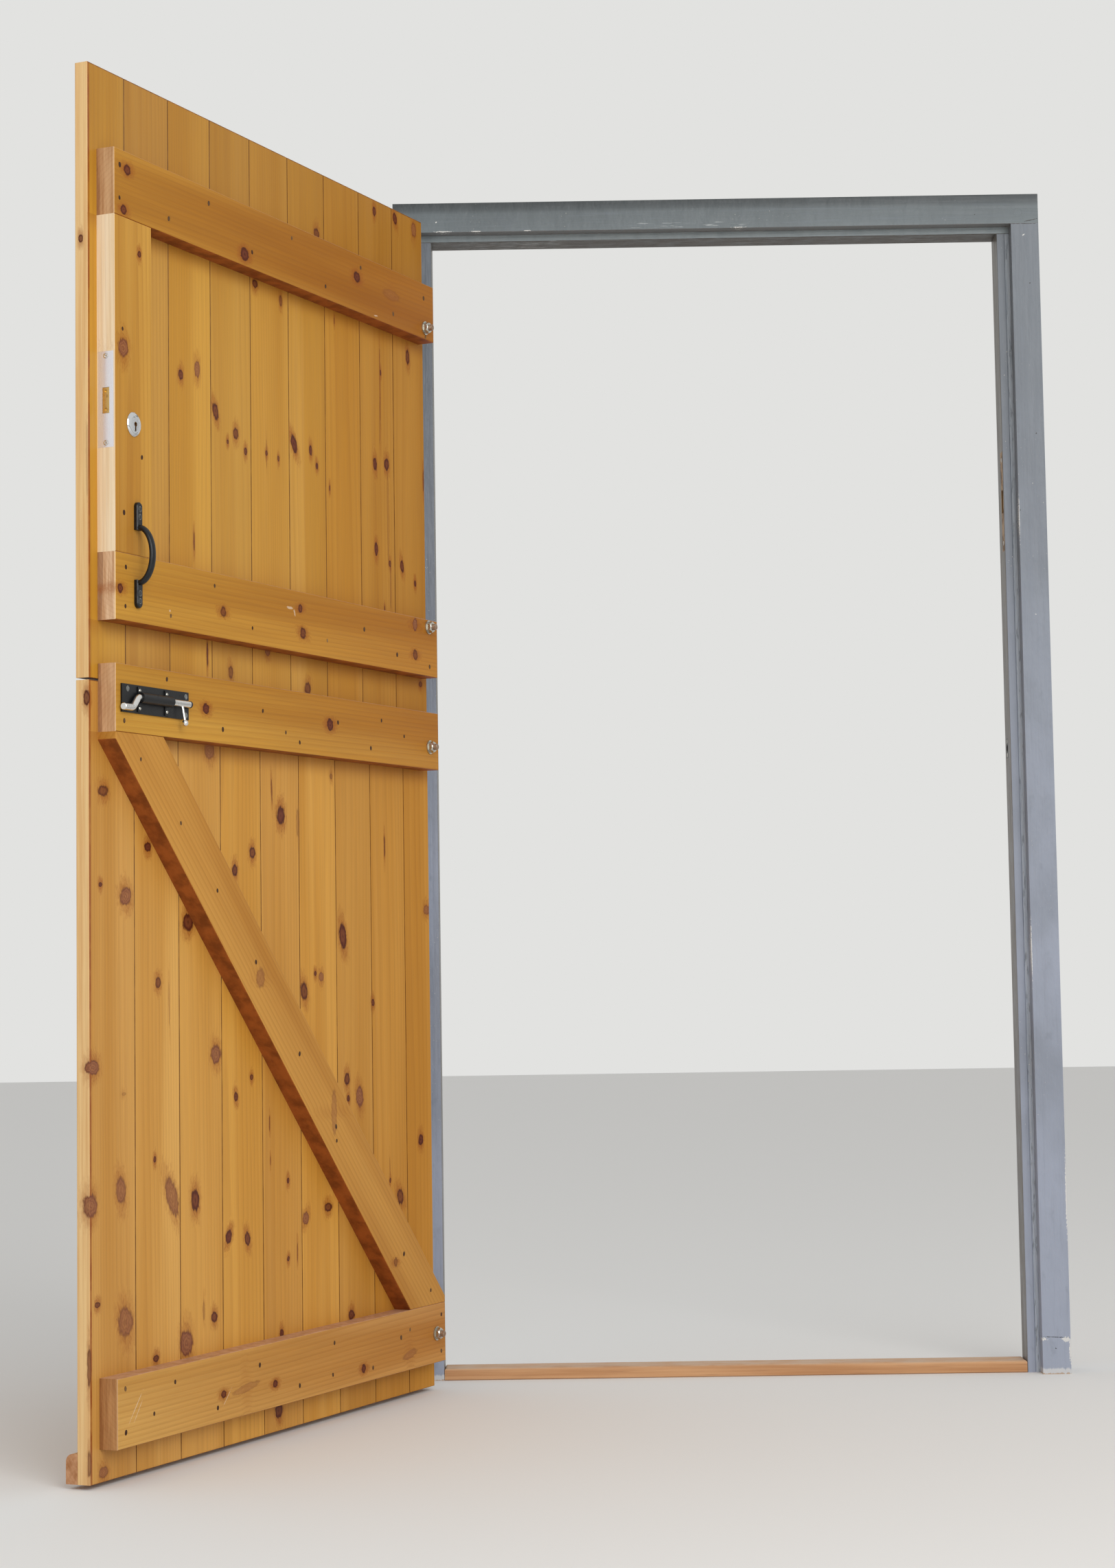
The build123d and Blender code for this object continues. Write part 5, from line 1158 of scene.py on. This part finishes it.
class DOOR_OT_screws(bpy.types.Operator):
    """Set cross recess heads over the screws of hinges, lock, handle, keeps and bolt plate"""

    bl_idname = "door.screws"
    bl_label = "Screw heads"

    def execute(self, context):
        sizes = context.scene.door_sizes
        small = cross_head(sizes.screw_radius / MM, 0.9, 1.0)
        large = cross_head(sizes.hinge_screw_radius / MM, 0.5, 0.6)
        flat = cross_head(LOCK_SCREW_RADIUS, 0.3, 0.5)
        domed = cross_head(LOCK_SCREW_RADIUS, 0.7, 0.8)
        zinc = metal("screw_zinc", (190, 190, 184), 0.34, (120, 92, 66), 0.2, 260.0)
        black = metal("screw_black", (58, 60, 62), 0.42, (84, 86, 86), 0.4, 200.0, metallic=0.3)
        dull = metal("screw_dull", (140, 143, 142), 0.42, (104, 100, 92), 0.4, 220.0)
        bright = metal("screw_bright", (226, 226, 226), 0.24, (180, 174, 168), 0.2, 200.0)
        rng = np.random.default_rng(SCREW_SEED)
        sides = (-1, 1)

        def heads(shape, points, out, leaf=True):
            """Copies of a head at some points, each with its recess at a drawn angle."""
            places = [facing(*point, out, rng.uniform(0, math.pi / 2), leaf) for point in points]
            return stood(shape, places)

        hooks = [
            (x, FRAME_FRONT - HINGE_THICKNESS, z - HOOK_PLATE_DROP + side * HOOK_SCREW_RISE)
            for heights in HINGES.values() for z in heights for x in HOOK_SCREWS_X for side in sides
        ]
        hooks = heads(large, hooks, (0, -1, 0), leaf=False)
        make_piece("hook_screw_heads", hooks, zinc, "frame")
        y, z = BOLT_KEEP
        keeps = [(LOCK_STOP_FACE, -1, LOCK_KEEP_Z + side * LOCK_KEEP_SCREW_RISE) for side in sides]
        keeps += [(LOCK_STOP_FACE, y, z + side * BOLT_KEEP_SCREW_RISE) for side in sides]
        keeps = heads(flat, keeps, (-1, 0, 0), leaf=False)
        make_piece("keep_screw_heads", keeps, zinc, "frame")
        for leaf, heights in HINGES.items():
            bands = [
                (COACH_BOLT_X + BOARD_COVER * board, BOARD_OUTSIDE - HINGE_THICKNESS, z)
                for z in heights for board in (1, 2, 3)
            ]
            bands = heads(large, bands, (0, -1, 0))
            make_piece(f"{leaf}_band_screw_heads", bands, zinc, f"{leaf}_leaf")
        x, y, z = HANDLE_MIDDLE
        handle = [(x, y, z + side * rise) for side in sides for rise in HANDLE_SCREW_RISES]
        handle = heads(domed, handle, (0, 1, 0))
        make_piece("handle_screw_heads", handle, black, "upper_leaf")
        forend = [(LEDGE_LOCK_END, -1, FOREND_Z + side * FOREND_SCREW_RISE) for side in sides]
        forend = heads(flat, forend, (1, 0, 0))
        make_piece("forend_screw_heads", forend, bright, "upper_leaf")
        y, z = BOLT_PLATE
        plate = [(x, y, z + side * BOLT_PLATE_SCREW_RISE) for x in BOLT_PLATE_SCREWS_X for side in sides]
        plate = heads(small, plate, (0, 1, 0))
        make_piece("plate_screw_heads", plate, dull, "lower_leaf")
        return {"FINISHED"}


class DOOR_OT_threads(bpy.types.Operator):
    """Cut the rusty threads on the coach bolts' ends"""

    bl_idname = "door.threads"
    bl_label = "Bolt threads"

    def execute(self, context):
        pitch = context.scene.door_sizes.thread_pitch / MM
        thread = thread_end(radius=5.45, length=5.4, pitch=pitch, depth=0.4)
        rusty = metal("rusty_thread", (168, 150, 130), 0.5, (138, 82, 48), 0.8, 240.0, bump=0.4)
        for leaf, heights in HINGES.items():
            places = [facing(COACH_BOLT_X, LEDGE_FACE + NUT_HEIGHT, z, (0, 1, 0)) for z in heights]
            make_piece(f"{leaf}_bolt_threads", stood(thread, places), rusty, f"{leaf}_leaf")
        return {"FINISHED"}


class DOOR_OT_stage(bpy.types.Operator):
    """Lay the pale floor, hang the lamp and set the camera"""

    bl_idname = "door.stage"
    bl_label = "Floor, lamp and camera"

    def execute(self, context):
        settings = context.scene.door_stage
        scene = context.scene
        scene.view_settings.view_transform = "Standard"
        mesh = bpy.data.meshes.new("floor")
        half = FLOOR_SIZE / 2
        corners = [(-half, -half, 0), (half, -half, 0), (half, half, 0), (-half, half, 0)]
        mesh.from_pydata(corners, [], [(0, 1, 2, 3)])
        mesh.materials.append(Shader("floor").finish(Base_Color=tuple(settings.floor), Roughness=0.9))
        floor = bpy.data.objects.new("floor", mesh)
        scene.collection.objects.link(floor)
        self.sky(scene, settings.sky)
        self.lamp(scene, settings.lamp)
        self.camera(scene)
        return {"FINISHED"}

    @staticmethod
    def sky(scene, strength):
        """White light from all round, and a pale backdrop for the camera and for mirrors."""
        world = bpy.data.worlds.new("sky")
        world.use_nodes = True
        scene.world = world
        nodes = Nodes(world.node_tree)
        rays = nodes.add("ShaderNodeLightPath").outputs
        seen = [rays["Is Camera Ray"], rays["Is Glossy Ray"], rays["Is Transmission Ray"]]
        light = nodes.add("ShaderNodeBackground", {0: (1.0, 1.0, 1.0, 1.0), 1: strength}).outputs[0]
        backdrop = nodes.add("ShaderNodeBackground", {0: srgb(226, 226, 224)}).outputs[0]
        mixed = nodes.add("ShaderNodeMixShader", {0: nodes.joined("MAXIMUM", seen), 1: light, 2: backdrop})
        nodes.add("ShaderNodeOutputWorld", {0: mixed.outputs[0]})

    @staticmethod
    def lamp(scene, power):
        """A large round lamp above the camera, aimed at the door."""
        data = bpy.data.lights.new("main_lamp", "AREA")
        data.shape = "DISK"
        data.size = LAMP_SIZE
        data.energy = power
        lamp = bpy.data.objects.new("main_lamp", data)
        aim = (Vector(LAMP_TARGET) - Vector(LAMP_PLACE)).to_track_quat("-Z", "Y")
        lamp.matrix_world = Matrix.Translation(LAMP_PLACE) @ aim.to_matrix().to_4x4()
        scene.collection.objects.link(lamp)

    @staticmethod
    def camera(scene):
        """The photograph's viewpoint: place, yaw, pitch and roll, lens and small shift."""
        yaw, pitch, roll = (math.radians(angle) for angle in CAMERA_ANGLES)
        ahead = Vector((math.sin(yaw) * math.cos(pitch), math.cos(yaw) * math.cos(pitch), math.sin(pitch)))
        level = Vector((math.cos(yaw), -math.sin(yaw), 0))
        upright = level.cross(ahead)
        right = math.cos(roll) * level + math.sin(roll) * upright
        up = -math.sin(roll) * level + math.cos(roll) * upright
        data = bpy.data.cameras.new("camera")
        data.sensor_width = 36.0
        data.lens = CAMERA_LENS
        data.shift_x, data.shift_y = CAMERA_SHIFT
        camera = bpy.data.objects.new("camera", data)
        turn = Matrix((right, up, -ahead)).transposed().to_4x4()
        camera.matrix_world = Matrix.Translation(CAMERA_PLACE) @ turn
        scene.collection.objects.link(camera)
        scene.camera = camera


class DOOR_PT_panel(bpy.types.Panel):
    """The door's pieces in the sidebar"""

    bl_label = "Stable door"
    bl_idname = "DOOR_PT_panel"
    bl_space_type = "VIEW_3D"
    bl_region_type = "UI"
    bl_category = "Stable door"

    def draw(self, context):
        layout = self.layout
        for operator in OPERATORS:
            layout.operator(operator.bl_idname)
        for group in (context.scene.door_colours, context.scene.door_sizes, context.scene.door_stage):
            for name in group.bl_rna.properties.keys():
                if name not in ("rna_type", "name"):
                    layout.prop(group, name)


OPERATORS = (
    DOOR_OT_boards, DOOR_OT_ledges, DOOR_OT_frame, DOOR_OT_metals, DOOR_OT_nails, DOOR_OT_screws,
    DOOR_OT_threads, DOOR_OT_stage,
)
GROUPS = (("door_colours", DoorColours), ("door_sizes", DoorSizes), ("door_stage", StageSettings))


def register():
    for name, group in GROUPS:
        bpy.utils.register_class(group)
        setattr(bpy.types.Scene, name, PointerProperty(type=group))
    for kind in (*OPERATORS, DOOR_PT_panel):
        bpy.utils.register_class(kind)


def unregister():
    for kind in reversed((*OPERATORS, DOOR_PT_panel)):
        bpy.utils.unregister_class(kind)
    for name, group in reversed(GROUPS):
        delattr(bpy.types.Scene, name)
        bpy.utils.unregister_class(group)


def main():
    register()
    bpy.ops.door.boards()
    bpy.ops.door.ledges()
    bpy.ops.door.frame()
    bpy.ops.door.metals()
    bpy.ops.door.nails()
    bpy.ops.door.screws()
    bpy.ops.door.threads()
    bpy.ops.door.stage()


if __name__ == "__main__":
    main()
